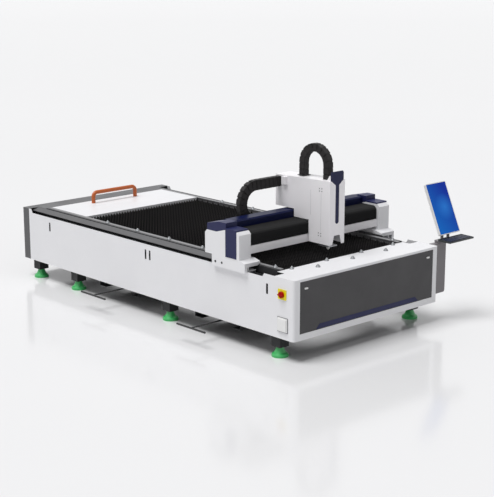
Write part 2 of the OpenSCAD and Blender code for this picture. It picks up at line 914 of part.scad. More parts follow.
// Console column on the right wall, with the bore for the swivel pin
module console_column() {
    color("#7B777A") place() difference() {
        along_y(column_y, column_y + column_d) {
            translate([half, column_top - column_h + column_r]) square([column_w, column_h - column_r]);
            translate([half, column_top - column_h]) square([column_w - column_r, column_h]);
            translate([half + column_w - column_r, column_top - column_h + column_r]) circle(column_r);
        }
        rod_z(pivot_x, pivot_y, column_top - pin_l - cut, column_top + cut, pin_r + shaft_gap);
    }
}

// Swivel arm: pin, flange, arm plate and two ears with the tilt pin
module console_arm() {
    color("#8C8A8C") place() {
        rod_z(pivot_x, pivot_y, column_top - pin_l, arm_z, pin_r);
        rod_z(pivot_x, pivot_y, column_top + run_gap, arm_z, pin_flange_r);
        along_z(arm_z, tray_z) round_rect([pivot_x - pin_flange_r, tray_y1 - arm_lap],
            [console_x + arm_out, pivot_y + arm_d / 2], pin_r);
        for (side = [-1, 1]) {
            x = console_x + side * (knuckle_half + run_gap + ear_t / 2);
            along_x(x - ear_t / 2, x + ear_t / 2) {
                translate([tilt_y - ear_w / 2, arm_z]) square([ear_w, tilt_z - arm_z]);
                translate([tilt_y, tilt_z]) circle(ear_w / 2);
            }
        }
        rod_x(console_x - knuckle_half - run_gap - ear_t, console_x + knuckle_half + run_gap + ear_t,
            tilt_y, tilt_z, tilt_pin_r);
    }
}

// Keyboard tray with a low front edge and a rim, and the keyboard on it
module keyboard_tray() {
    color("#2B3030") place() difference() {
        along_x(tray_x0, tray_x1) polygon([
            [tray_y0 + tray_edge, tray_z], [tray_y1, tray_z], [tray_y1, tray_z + tray_h],
            [tray_y0, tray_z + tray_front_h + tray_edge], [tray_y0, tray_z + tray_edge]
        ]);
        along_x(tray_x0 + tray_edge, tray_x1 - tray_edge) polygon([
            [tray_y0 + tray_edge, tray_z + tray_front_h], [tray_y1 - tray_edge, tray_z + tray_front_h],
            [tray_y1 - tray_edge, tray_z + tray_h + cut], [tray_y0 + tray_edge, tray_z + tray_h + cut]
        ]);
    }
}
module keyboard() {
    x0 = tray_x0 + keyboard_margin;
    y0 = tray_y0 + keyboard_margin;
    z0 = tray_z + tray_front_h;
    key_x = (tray_w - 2 * keyboard_margin) / key_cols;
    key_y = (tray_d - 2 * keyboard_margin) / key_rows;
    color("#23273A") place() {
        box([x0, y0, z0], [x0 + key_x * key_cols, y0 + key_y * key_rows, z0 + keyboard_t]);
        for (i = [0 : key_cols - 1], j = [0 : key_rows - 1]) {
            translate([x0 + (i + (1 - key_share) / 2) * key_x, y0 + (j + (1 - key_share) / 2) * key_y, z0]) {
                cube([key_x * key_share, key_y * key_share, keyboard_t + key_h]);
            }
        }
    }
}

// Screen housing on its knuckle, leaning back round the tilt pin
module leaning() { translate([console_x, tilt_y, tilt_z]) rotate([-monitor_lean, 0, 0]) children(); }
module monitor_shell() {
    back = -monitor_front + monitor_t;
    color("#E9EAEC") place() leaning() difference() {
        union() {
            along_y(-monitor_front, back) round_rect([-monitor_w / 2, -monitor_low],
                [monitor_w / 2, monitor_h - monitor_low], monitor_r);
            box([-knuckle_half, back, -ear_w / 2], [knuckle_half, 0, ear_w / 2]);
            rod_x(-knuckle_half, knuckle_half, 0, 0, ear_w / 2);
        }
        rod_x(-knuckle_half - cut, knuckle_half + cut, 0, 0, tilt_pin_r + shaft_gap);
        along_y(-monitor_front - cut, -monitor_front + screen_t) square_between(
            [-monitor_w / 2 + bezel, bezel - monitor_low], [monitor_w / 2 - bezel, monitor_h - monitor_low - bezel]);
    }
}
module square_between(lo, hi) { translate(lo) square(hi - lo); }
module monitor_screen() {
    color("#1F4FB8") place() leaning() along_y(-monitor_front, -monitor_front + screen_t) square_between(
        [-monitor_w / 2 + bezel, bezel - monitor_low], [monitor_w / 2 - bezel, monitor_h - monitor_low - bezel]);
}

// Gantry beam: a welded tube with its front lip
module beam_profile(inset) {
    polygon([
        [gantry_y + inset, beam_z + inset], [beam_rear_y - inset, beam_z + inset],
        [beam_rear_y - inset, beam_top - inset], [beam_face_y + inset, beam_top - inset],
        [beam_face_y + inset, lip_top - inset], [gantry_y + inset, lip_top - inset]
    ]);
}
module gantry_beam() {
    color("#D8D8DA") place() along_x(-span_half, span_half) difference() {
        beam_profile(0);
        beam_profile(tube_wall);
    }
}
module beam_cover_profile(inset, open) {
    top = beam_top + beam_cover_h - inset;
    polygon([
        [cover_y0 + inset, beam_top - open], [cover_y0 + inset, top - cover_chamfer], [cover_y0 + cover_chamfer, top],
        [beam_rear_y - cover_chamfer, top], [beam_rear_y - inset, top - cover_chamfer],
        [beam_rear_y - inset, beam_top - open]
    ]);
}
module beam_cover() {
    color("#1B2148") place() difference() {
        along_x(-span_half, span_half) beam_cover_profile(0, 0);
        along_x(-span_half - cut, span_half + cut) beam_cover_profile(sheet, cut);
    }
}

// Bellows over the cross rails: a folded skin with raised pleats
module bellows_profile(out) {
    y0 = bellows_y - out;
    y1 = bellows_y + bellows_t;
    z1 = beam_top + bellows_lift;
    z2 = z1 + bellows_t + out;
    polygon([
        [y0, bellows_low], [y0, z2 - bellows_nose], [y0 + bellows_nose, z2], [bellows_rear, z2], [bellows_rear, z1],
        [y1 + bellows_nose, z1], [y1, z1 - bellows_nose], [y1, bellows_low]
    ]);
}
module bellows() {
    x0 = carriage_half + run_gap;
    step = (span_half - run_gap - x0) / pleats;
    along_x(x0, span_half - run_gap) bellows_profile(-pleat_d / 2);
    for (i = [0 : pleats - 1]) {
        along_x(x0 + (i + 1 / 4) * step, x0 + (i + 3 / 4) * step) bellows_profile(pleat_d / 2);
    }
}
module left_bellows() { color("#1B1B1B") place() mirror([1, 0, 0]) bellows(); }
module right_bellows() { color("#1B1B1B") place() bellows(); }

module cross_rails() {
    color("#A8ABAE") place() for (z = cross_rail_zs) {
        box([-span_half, beam_face_y - cross_rail_h, z - cross_rail_w / 2], [span_half, beam_face_y, z + cross_rail_w / 2]);
    }
}
module chain_tray() {
    x1 = span_half - chain_tray_in;
    y1 = cross_chain_y0 + cross_chain_w + chain_side_gap;
    color("#3A3C44") place() along_x(-x1, x1) {
        square_between([beam_rear_y, chain_tray_z - tray_wall], [y1, chain_tray_z]);
        square_between([y1 - tray_wall, chain_tray_z - tray_wall], [y1, chain_tray_z + chain_tray_lip]);
    }
}

// End covers: hollow housings over the drive motors
module end_profile(inset, open) {
    polygon([
        [end_y0 + inset, foot_top - open], [end_y0 + inset, end_nose_top - end_chamfer],
        [end_y0 + end_chamfer, end_nose_top - inset], [end_nose_y - inset, end_nose_top - inset],
        [end_nose_y + end_slope_l - inset, end_top - inset], [end_y1 - end_chamfer, end_top - inset],
        [end_y1 - inset, end_top - end_chamfer], [end_y1 - inset, foot_top - open]
    ]);
}
module end_covers() {
    color("#F0F0F1") place() both_sides() difference() {
        along_x(span_half, end_x1) end_profile(0, 0);
        along_x(span_half + sheet, end_x1 - sheet) end_profile(sheet, cut);
    }
}

// Blue trims: a stripe on the outer face that wraps over the top, and a ridged cap behind it
module end_trims() {
    cap_y1 = end_y1 - end_chamfer;
    color("#2C3066") place() both_sides() {
        box([end_x1, trim_y0, foot_top + trim_low], [end_x1 + trim_t, trim_y1, end_nose_top + trim_wrap_h]);
        box([span_half, trim_y0, end_nose_top], [end_x1 + trim_t, trim_y1, end_nose_top + trim_wrap_h]);
        along_x(span_half, end_x1 - trim_t) polygon([
            [end_nose_y, end_nose_top], [end_nose_y + end_slope_l, end_top], [cap_y1, end_top],
            [cap_y1, end_top + cap_low_h], [end_nose_y + cap_ridge_l, end_top + cap_ridge_h],
            [end_nose_y, end_top + cap_ridge_h]
        ]);
    }
}

// Saddle foot: outer skirt and top block over the rail cover, with webs down the groove to a plate
module saddle_foot() {
    foot_bottom = deck_z - foot_dip;
    difference() {
        union() {
            intersection() {
                along_y(foot_y0, foot_y1) polygon([
                    [end_x1, foot_low], [end_x1 - skirt_t, foot_low], [end_x1 - skirt_t, foot_bottom],
                    [half - foot_over_x, foot_bottom], [half - foot_in_x, foot_bottom + foot_over_lift],
                    [half - foot_in_x, foot_top], [end_x1, foot_top]
                ]);
                along_x(half - foot_in_x, end_x1) polygon([
                    [foot_y1, foot_low], [foot_y1, foot_top], [foot_y0 + foot_nose, foot_top],
                    [foot_y0, foot_top - foot_nose_drop], [foot_y0, foot_low]
                ]);
            }
            for (y = [[foot_y0 + saddle_end, pinion_y - web_window], [pinion_y + web_window, foot_y1 - saddle_end]]) {
                box([pinion_x - web_t / 2, y[0], block_z1], [pinion_x + web_t / 2, y[1], foot_bottom]);
            }
            box([rail_x - block_w / 2, foot_y0 + saddle_end, block_z1],
                [pinion_x + web_t / 2, foot_y1 - saddle_end, block_z1 + saddle_t]);
        }
        rod_z(pinion_x, pinion_y, foot_low, foot_top + cut, shaft_hole_r);
    }
}
module saddle_feet() { color("#E4E4E6") place() both_sides() saddle_foot(); }

// Rail blocks under the saddle plates
module rail_blocks() {
    color("#5E6266") place() both_sides() {
        for (y = [foot_y0 + saddle_end, foot_y1 - saddle_end - block_l]) difference() {
            box([rail_x - block_w / 2, y, side_top + block_lift], [rail_x + block_w / 2, y + block_l, block_z1]);
            box([rail_x - rail_w / 2 - run_gap, y - cut, side_top],
                [rail_x + rail_w / 2 + run_gap, y + block_l + cut, side_top + rail_h + run_gap]);
        }
    }
}
module drive_motors() {
    color("#26282B") place() both_sides() translate([pinion_x, pinion_y, foot_top]) {
        box([-motor_flange_w / 2, -motor_flange_w / 2, 0], [motor_flange_w / 2, motor_flange_w / 2, motor_flange_h]);
        box([-motor_w / 2, -motor_w / 2, motor_flange_h], [motor_w / 2, motor_w / 2, motor_flange_h + motor_h]);
    }
}

// Pinion with straight teeth on its shaft
module pinion() {
    step = 360 / pinion_teeth;
    root = pinion_r - tooth_m;
    translate([pinion_x, pinion_y, 0]) {
        along_z(pinion_z - pinion_h / 2, pinion_z + pinion_h / 2) polygon([
            for (i = [0 : pinion_teeth - 1], p = [[-tooth_shares[0], root], [-tooth_shares[1], pinion_or],
                [tooth_shares[1], pinion_or], [tooth_shares[0], root]])
                p.y * [cos((i + p.x) * step), sin((i + p.x) * step)]
        ]);
        rod_z(0, 0, pinion_z, foot_top - run_gap, shaft_r);
    }
}
module left_pinion() { color("#6C7074") place() mirror([1, 0, 0]) pinion(); }
module right_pinion() { color("#6C7074") place() pinion(); }

// Carriage plate with its four blocks on the cross rails
module carriage_plate() {
    color("#8B8F94") place() {
        box([-carriage_half, house_back, carriage_low], [carriage_half, house_back + carriage_t, carriage_high]);
        for (z = cross_rail_zs, side = [-1, 1]) difference() {
            x = side * (carriage_half - cross_block_l / 2);
            box([x - cross_block_l / 2, house_back + carriage_t, z - cross_block_w / 2],
                [x + cross_block_l / 2, house_back + carriage_t + cross_block_t, z + cross_block_w / 2]);
            box([-half, beam_face_y - cross_rail_h - run_gap, z - cross_rail_w / 2 - run_gap],
                [half, beam_face_y, z + cross_rail_w / 2 + run_gap]);
        }
    }
}

// Head housing: a tall box in front of the beam that reaches back over it
function house_roof(y) = house_top - house_fall * (y - house_y0) / (house_y1 - house_y0);
module house_profile(inset, open) {
    step_z = beam_top + house_step;
    step_y = cover_y0 - house_step_gap;
    polygon([
        [house_y0 + inset, house_z - open], [house_back - inset, house_z - open],
        [house_back - inset, step_z + inset], [step_y - inset, step_z + inset],
        [step_y - inset, house_under + inset], [house_y1 - inset, house_under + inset],
        [house_y1 - inset, house_roof(house_y1) - inset], [house_y0 + inset, house_roof(house_y0) - inset]
    ]);
}
module notch_outline(grow) {
    slot_half = house_half * notch_slot_share + grow;
    top_half = house_half * notch_top_share + grow;
    polygon([
        [-slot_half, house_top - slot_low], [slot_half, house_top - slot_low], [slot_half, house_top - notch_v],
        [top_half, house_top], [top_half, house_top + trim_rise - trim_corner],
        [top_half - trim_corner, house_top + trim_rise], [-top_half + trim_corner, house_top + trim_rise],
        [-top_half, house_top + trim_rise - trim_corner], [-top_half, house_top], [-slot_half, house_top - notch_v]
    ]);
    translate([0, house_top - slot_low]) circle(slot_half);
}
// Hood behind the upper part of the trim plate, open to the housing below
hood_y0 = house_y0 + sheet + trim_plate_t + run_gap;
module hood(inset, open) {
    x1 = house_half * notch_top_share - inset;
    top = house_top + trim_rise - hood_drop - inset;
    base = house_top - sheet - open;
    along_x(-x1, x1) polygon([
        [hood_y0 + inset, base], [hood_y0 + hood_d - inset, base], [hood_y0 + hood_top_d - inset, top],
        [hood_y0 + inset, top]
    ]);
}
module head_housing() {
    chain_slot_y = head_chain_h / 2 + chain_slot_gap;
    color("#EFEFF0") place() {
        difference() {
            along_x(-house_half, house_half) house_profile(0, 0);
            along_x(-house_half + sheet, house_half - sheet) house_profile(sheet, cut);
            along_y(house_y0 - cut, house_y0 + sheet + cut) notch_outline(0);
            along_y(house_y0 + sheet, house_y0 + sheet + trim_plate_t + run_gap) notch_outline(trim_lap + run_gap);
            along_y(house_y0 - cut, house_y0 + sheet + cut) polygon([
                [-house_half * arch_low_share, house_z - cut], [house_half * arch_low_share, house_z - cut],
                [house_half * arch_top_share, house_z + arch_h], [-house_half * arch_top_share, house_z + arch_h]
            ]);
            box([-chain_w / 2 - chain_slot_gap, head_chain_front - chain_slot_y, house_under],
                [chain_w / 2 + chain_slot_gap, head_chain_front + chain_slot_y, house_top + cut]);
            hood(sheet, cut);
        }
        difference() {
            hood(0, 0);
            hood(sheet, cut);
        }
        box([-house_half - bracket_out, cross_chain_y0 - bracket_d, cross_top_z + bracket_lift - bracket_h / 2],
            [-house_half, cross_chain_y0, cross_top_z + bracket_lift + bracket_h / 2]);
    }
}
module head_trim() {
    color("#33386E") place() along_y(house_y0 + sheet, house_y0 + sheet + trim_plate_t) notch_outline(trim_lap);
}

// Drag chains: bodies of links with narrower joints between them, along runs and bends
module link_run(from, step, count, h) {
    length = norm(step);
    turn = atan2(step.y, step.x);
    for (i = [0 : count - 1]) translate(from + step * (i + 1 / 2)) rotate(turn) {
        square([length * link_body_share, h], center = true);
        square([length + link_lap, h * link_core_share], center = true);
    }
}
module link_bend(mid, r, from, sweep, count, h) {
    length = 2 * r * sin(abs(sweep) / count / 2);
    for (i = [0 : count - 1]) {
        a = from + sweep * (i + 1 / 2) / count;
        translate(mid + r * [cos(a), sin(a)]) rotate(a + 90) {
            square([length * link_body_share, h], center = true);
            square([length + link_lap, h * link_core_share], center = true);
        }
    }
}
module cross_chain() {
    start = -house_half - run_gap - link_lap / 2;
    top_step = (cross_bend_x - start) / cross_links;
    low_step = (cross_low_x - cross_bend_x) / cross_links;
    mid = [cross_bend_x, cross_top_z - cross_bend_r];
    color("#353334") place() along_y(cross_chain_y0, cross_chain_y0 + cross_chain_w) {
        link_run([start, cross_top_z], [top_step, 0], cross_links, cross_chain_h);
        link_bend(mid, cross_bend_r, 90, 180, cross_bend_links, cross_chain_h);
        link_run([cross_bend_x, cross_low_z], [low_step, 0], cross_links, cross_chain_h);
    }
}
module head_chain() {
    y0 = head_chain_rear - head_chain_h / 2 - flange_lap;
    y1 = head_chain_rear + head_chain_h / 2 + flange_lap;
    roof = house_roof(y1) + flange_t;
    mid = [(head_chain_front + head_chain_rear) / 2, head_bend_z];
    rear_step = (head_bend_z - roof) / head_links;
    seat_lift = run_gap + link_lap / 2;
    front_step = (head_bend_z - head_seat_z - seat_lift) / head_low_links;
    color("#2E2D2F") place() {
        along_x(-chain_w / 2, chain_w / 2) {
            link_run([head_chain_rear, roof], [0, rear_step], head_links, head_chain_h);
            link_bend(mid, head_bend_r, 0, 180, head_bend_links, head_chain_h);
            link_run([head_chain_front, head_seat_z + seat_lift], [0, front_step], head_low_links, head_chain_h);
        }
        along_x(-chain_w / 2 - flange_lap / 2, chain_w / 2 + flange_lap / 2) polygon([
            [y0, house_roof(y0) + shaft_gap], [y1, house_roof(y1) + shaft_gap], [y1, roof], [y0, roof]
        ]);
    }
}

// Vertical axis inside the housing
wall_y = house_back - sheet;
screw_y = wall_y - screw_back;
module head_rails() {
    color("#A8ABAE") place() both_sides() box(
        [head_rail_x - head_rail_w / 2, wall_y - head_rail_h, house_z + head_rail_low],
        [head_rail_x + head_rail_w / 2, wall_y, house_z + head_rail_low + head_rail_l]);
}
module head_screw() {
    color("#9EA3A8") place() rod_z(0, screw_y, house_z + screw_low, house_z + head_rail_low + head_rail_l, screw_r);
}
module head_motor() {
    z0 = house_z + head_rail_low + head_rail_l + run_gap;
    color("#26282B") place() box([-head_motor_w / 2, wall_y - head_motor_w * head_motor_share, z0],
        [head_motor_w / 2, wall_y, z0 + head_motor_h]);
}
head_motor_share = 0.8;
slide_y1 = screw_y - head_block_t / 2;
slide_y0 = slide_y1 - slide_t;
module head_slide() {
    z0 = house_z + slide_low;
    color("#9A9EA2") place() difference() {
        union() {
            box([-slide_half, slide_y0, z0], [slide_half, slide_y1, z0 + slide_h]);
            both_sides() box([head_rail_x - head_block_w / 2, slide_y1, z0],
                [head_rail_x + head_block_w / 2, slide_y1 + head_block_t, z0 + slide_h]);
            box([-nut_w / 2, slide_y1, z0 + nut_lift], [nut_w / 2, slide_y1 + head_block_t, z0 + nut_lift + nut_h]);
        }
        both_sides() box([head_rail_x - head_rail_w / 2 - run_gap, wall_y - head_rail_h - run_gap, z0 - cut],
            [head_rail_x + head_rail_w / 2 + run_gap, wall_y, z0 + slide_h + cut]);
        rod_z(0, screw_y, z0, z0 + slide_h, screw_r + run_gap);
    }
}

// Cutting head: body on the slide, barrel, bottom plate and the seat for the chain
module cutting_head() {
    low = house_z + head_low;
    plate_z = house_z - plate_gap - plate_t;
    color("#2B2C30") place() {
        box([-head_half, head_y - head_front, low], [head_half, slide_y0, low + head_h]);
        rod_z(0, head_y, plate_z, low, barrel_r);
        along_z(plate_z, plate_z + plate_t) round_rect([-plate_half, head_y - plate_front],
            [plate_half, head_y + plate_rear], plate_t);
        box([-post_half, slide_y0 - post_t, low + head_h], [post_half, slide_y0 - seat_back_gap, head_seat_z]);
        box([-seat_half, head_chain_front - head_chain_h / 2, head_seat_z - seat_t],
            [seat_half, slide_y0 - seat_back_gap, head_seat_z]);
    }
}
module nozzle() {
    top = house_z - plate_gap - plate_t;
    color("#B9BCC0") place() translate([0, head_y, 0]) rotate_extrude() polygon([
        [bore_r, top], [nozzle_r, top], [nozzle_r, top - ring_h], [tip_r, top - ring_h - tip_h], [bore_r, top - ring_h - tip_h]
    ]);
}

bed_frame();
leg_blocks();
feet();
left_side_panel();
right_side_panel();
front_cover();
front_panel();
front_stripe();
rear_cap();
rear_deck();
pull_handle();
stud_strips();
ball_cups();
ball_rollers();
rail_covers();
bed_rails();
bed_racks();
slats();
slat_combs();
drawer_guides();
switch_plate();
socket_hatch();
console_column();
front_drawer();
front_drawer_handle();
rear_drawer();
rear_drawer_handle();
switch_knob();
left_latch();
right_latch();
console_arm();
keyboard_tray();
keyboard();
monitor_shell();
monitor_screen();
gantry_beam();
beam_cover();
left_bellows();
right_bellows();
cross_rails();
chain_tray();
end_covers();
saddle_feet();
end_trims();
drive_motors();
rail_blocks();
left_pinion();
right_pinion();
carriage_plate();
head_housing();
head_trim();
cross_chain();
head_chain();
head_rails();
head_screw();
head_motor();
head_slide();
cutting_head();
nozzle();
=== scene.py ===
# Open flat-bed laser cutting machine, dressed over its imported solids.
# Sections follow the machine as it is put together: bed, sides, ends, bed surface, drawers, console,
# gantry, bellows, fixings and chains, then the studio. Lengths are metres in the part's own frame.
import math

import bmesh
import bpy
from mathutils import Matrix, Vector


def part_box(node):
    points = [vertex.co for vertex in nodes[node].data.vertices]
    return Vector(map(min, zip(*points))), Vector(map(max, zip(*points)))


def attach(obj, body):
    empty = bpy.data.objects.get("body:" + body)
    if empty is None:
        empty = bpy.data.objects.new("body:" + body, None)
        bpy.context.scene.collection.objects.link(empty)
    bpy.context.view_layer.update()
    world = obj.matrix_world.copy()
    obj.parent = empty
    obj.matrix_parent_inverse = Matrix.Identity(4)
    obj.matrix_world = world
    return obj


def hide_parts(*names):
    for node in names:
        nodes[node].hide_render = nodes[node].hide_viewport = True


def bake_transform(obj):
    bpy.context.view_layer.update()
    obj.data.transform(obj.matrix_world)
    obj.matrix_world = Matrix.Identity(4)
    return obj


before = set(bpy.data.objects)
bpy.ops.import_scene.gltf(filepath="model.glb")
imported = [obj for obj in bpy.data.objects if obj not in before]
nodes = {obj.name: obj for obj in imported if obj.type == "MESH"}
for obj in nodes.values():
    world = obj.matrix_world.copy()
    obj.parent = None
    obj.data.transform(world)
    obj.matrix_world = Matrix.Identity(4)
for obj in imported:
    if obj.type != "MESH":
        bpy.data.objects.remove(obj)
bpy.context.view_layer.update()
scene = bpy.context.scene

# Camera: a long lens 4 m up and about 13 m from the machine's front, off its left corner, as in the
# photograph. The eye is given from the middle of the machine's front edge on the floor.
bed_low, bed_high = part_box("front_cover")
front_middle = Vector(((bed_low.x + bed_high.x) / 2, bed_low.y, 0))
eye_from_front = Vector((-10.0299, -9.0037, 4.2755))
azimuth, elevation = math.radians(-42.549), math.radians(13.598)
level_share = math.cos(elevation)
away = Vector((math.sin(azimuth) * level_share, -math.cos(azimuth) * level_share, math.sin(elevation)))
camera = bpy.data.objects.new("camera", bpy.data.cameras.new("camera"))
scene.collection.objects.link(camera)
camera.data.lens = 94.88
camera.data.sensor_width = 36
camera.data.clip_end = 400
camera.location = front_middle + eye_from_front
camera.rotation_euler = (-away).to_track_quat("-Z", "Y").to_euler()
scene.camera = camera


# Welded bed frame, leg blocks and drawer channels: rolled steel tube and plate, stick welded and
# brushed with matt black primer. The primer is flat and dusty in patches about 120 mm across, and
# its grain is drawn at 5 mm so that it shows.
def linear(code):
    """An sRGB hex code as a linear colour."""
    parts = [int(code[i:i + 2], 16) / 255 for i in (1, 3, 5)]
    return tuple(c / 12.92 if c <= 0.04045 else ((c + 0.055) / 1.055) ** 2.4 for c in parts) + (1.0,)


def feed(tree, node, inputs):
    """Joins each input of a node to another node's output, or sets it to a plain value."""
    for name, value in inputs.items():
        if isinstance(value, bpy.types.NodeSocket):
            tree.links.new(value, node.inputs[name])
        else:
            node.inputs[name].default_value = value


def add(tree, kind, inputs=None, **settings):
    node = tree.nodes.new(kind)
    for name, value in settings.items():
        setattr(node, name, value)
    feed(tree, node, inputs or {})
    return node


def new_finish(name):
    finish = bpy.data.materials.new(name)
    finish.use_nodes = True
    tree = finish.node_tree
    surface = tree.nodes["Principled BSDF"]
    place = add(tree, "ShaderNodeTexCoord").outputs["Object"]
    return finish, tree, surface, place


def noise(tree, place, size_mm, detail, roughness=0.5):
    """Soft noise with patches about size_mm across."""
    return add(tree, "ShaderNodeTexNoise", {"Vector": place, "Scale": 1000 / size_mm, "Detail": detail,
                                            "Roughness": roughness}).outputs["Fac"]


def ranged(tree, value, low, high, to_low=0.0, to_high=1.0):
    """A value carried over from one range to another and held at its ends."""
    return add(tree, "ShaderNodeMapRange", {"Value": value, "From Min": low, "From Max": high,
                                            "To Min": to_low, "To Max": to_high}).outputs["Result"]


def mixed(tree, share, first, second):
    """A colour between two others."""
    return add(tree, "ShaderNodeMix", {"Factor": share, "A": first, "B": second},
               data_type="RGBA").outputs["Result"]


def reckon(tree, operation, *values):
    """One step of arithmetic on sockets and numbers."""
    return add(tree, "ShaderNodeMath", dict(enumerate(values)), operation=operation).outputs[0]


def bumps(tree, height, strength, depth):
    return add(tree, "ShaderNodeBump", {"Height": height, "Strength": strength,
                                        "Distance": depth}).outputs["Normal"]


def wear(finish, names):
    for name in names:
        nodes[name].data.materials.clear()
        nodes[name].data.materials.append(finish)


def paint(name, colour, shade, rough, patch_mm, grain_mm, relief, coat=0.0, shine=0.5):
    """Sprayed paint or powder: broad tone patches, a fine orange-peel relief and uneven gloss."""
    finish, tree, surface, place = new_finish(name)
    patches = noise(tree, place, patch_mm, 4.0, 0.6)
    grain = noise(tree, place, grain_mm, 2.0)
    feed(tree, surface, {"Base Color": mixed(tree, patches, linear(shade), linear(colour)),
                         "Roughness": ranged(tree, patches, 0.3, 0.7, rough + 0.07, rough - 0.05),
                         "Normal": bumps(tree, grain, relief, 0.001),
                         "Coat Weight": coat, "Specular IOR Level": shine})
    return finish


black_primer = paint("black_primer_on_steel", "#232426", "#161719",
                     rough=0.62, patch_mm=120, grain_mm=5, relief=0.25)
wear(black_primer, ["bed_frame", "leg_blocks", "drawer_guides", "head_motor", "drive_motors"])

# Levelling feet: cast iron bells with a machined base and threaded stud, dipped in green enamel.
# The enamel is glossy and pools slightly darker in the hollows.
green_enamel = paint("green_enamel_on_cast_iron", "#43BE68", "#35A557",
                     rough=0.36, patch_mm=40, grain_mm=4, relief=0.2, coat=0.3)
wear(green_enamel, ["feet"])

# Side panels, front cover, rear deck, end covers and saddle feet: bent sheet steel, degreased and
# powder coated white. Powder leaves a fine orange peel, drawn here at 7 mm so that it shows.
white_powder = paint("white_powder_coat", "#EEEEF0", "#E7E7EA",
                     rough=0.42, patch_mm=420, grain_mm=7, relief=0.06)
wear(white_powder, ["left_side_panel", "right_side_panel", "front_cover", "rear_deck", "end_covers",
                    "saddle_feet"])

# Beam and head housing: folded sheet in baked white enamel, glossier than the bed's powder coat, with the
# same faint peel. Its colour is a shade brighter than the bed's white. That is painted light, for the
# extra light these upper parts catch.
white_enamel_painted_lit = paint("baked_white_enamel_painted_lit", "#FCFAFC", "#F7F5F8",
                     rough=0.36, patch_mm=420, grain_mm=7, relief=0.05, shine=0.6)
wear(white_enamel_painted_lit, ["head_housing", "gantry_beam"])

# Front panel: a lift-off sheet in dark grey powder coat, held by two white moulded latches, with a
# navy stripe along its foot. The gantry's end trims share the navy, and the head's trim is darker.
charcoal_powder = paint("charcoal_powder_coat", "#454446", "#3F3E40",
                        rough=0.46, patch_mm=300, grain_mm=6, relief=0.08, shine=0.4)
wear(charcoal_powder, ["front_panel"])
navy_powder = paint("navy_powder_coat", "#222652", "#1C2048",
                    rough=0.42, patch_mm=260, grain_mm=6, relief=0.06, shine=0.3)
wear(navy_powder, ["front_stripe", "end_trims"])
trim_lacquer = paint("dark_navy_lacquer", "#171C46", "#12163A",
                     rough=0.36, patch_mm=160, grain_mm=6, relief=0.05, shine=0.25)
wear(trim_lacquer, ["head_trim"])
moulded_white = paint("moulded_white_abs", "#EFEFEF", "#E8E8E6",
                      rough=0.35, patch_mm=60, grain_mm=3, relief=0.05)
wear(moulded_white, ["left_latch", "right_latch", "socket_hatch", "monitor_shell"])

# Rear cap and rail covers: folded sheet in mid grey powder coat, where the cap closes the tail of the
# bed. The console's column and arm are a lighter, warmer grey.
grey_powder = paint("grey_powder_coat", "#575759", "#505052",
                    rough=0.44, patch_mm=280, grain_mm=6, relief=0.08)
wear(grey_powder, ["rear_cap", "rail_covers"])
column_powder = paint("warm_grey_powder_coat", "#7F7B7E", "#777376",
                      rough=0.44, patch_mm=200, grain_mm=6, relief=0.08)
wear(column_powder, ["console_column", "console_arm"])

# Pull handle: bent steel tube in orange enamel, on the rear deck. The enamel is thick and
# slightly uneven, as dipped tube is.
orange_enamel = paint("orange_enamel_on_tube", "#C6621F", "#B3551A",
                      rough=0.34, patch_mm=90, grain_mm=4, relief=0.1, coat=0.1)
wear(orange_enamel, ["pull_handle"])


# Racks, blocks, pinions and balls: hardened steel, ground bright. Grinding leaves fine lines along
# the length, drawn at 4 mm across so that they show, under a thin film of oil.
def ground_steel(name, colour, rough, line_mm, stretch):
    """Bare metal with tool marks: stretch is small along the axis that the marks follow."""
    finish, tree, surface, place = new_finish(name)
    drawn = add(tree, "ShaderNodeMapping", {"Vector": place, "Scale": stretch}).outputs["Vector"]
    marks = noise(tree, drawn, line_mm, 3.0)
    oil = noise(tree, place, 150, 3.0)
    feed(tree, surface, {"Base Color": linear(colour), "Metallic": 1.0,
                         "Roughness": ranged(tree, oil, 0.35, 0.7, rough - 0.06, rough + 0.1),
                         "Normal": bumps(tree, marks, 0.12, 0.0005)})
    return finish


along_y, along_x, along_z, all_round = (1, 0.04, 1), (0.04, 1, 1), (1, 1, 0.1), (1, 1, 1)
rail_steel = ground_steel("ground_rail_steel", "#A9ABAE", 0.3, 4, along_y)
wear(rail_steel, ["bed_racks", "rail_blocks", "left_pinion", "right_pinion"])
cross_steel = ground_steel("ground_cross_steel", "#A9ABAE", 0.3, 4, along_x)
wear(cross_steel, ["cross_rails", "head_rails", "head_screw"])
milled_alloy = ground_steel("milled_aluminium", "#B4B7BA", 0.38, 6, along_z)
wear(milled_alloy, ["carriage_plate", "head_slide", "cutting_head"])
ball_steel = ground_steel("tumbled_ball_steel", "#A0A2A5", 0.42, 5, all_round)
wear(ball_steel, ["ball_rollers"])
cup_zinc = ground_steel("zinc_plated_cup", "#8C8E90", 0.5, 5, all_round)
wear(cup_zinc, ["ball_cups"])
nozzle_ceramic = paint("glazed_nozzle_ceramic", "#E9E8E4", "#DFDDD8",
                       rough=0.22, patch_mm=12, grain_mm=3, relief=0.04, coat=0.3)
wear(nozzle_ceramic, ["nozzle"])
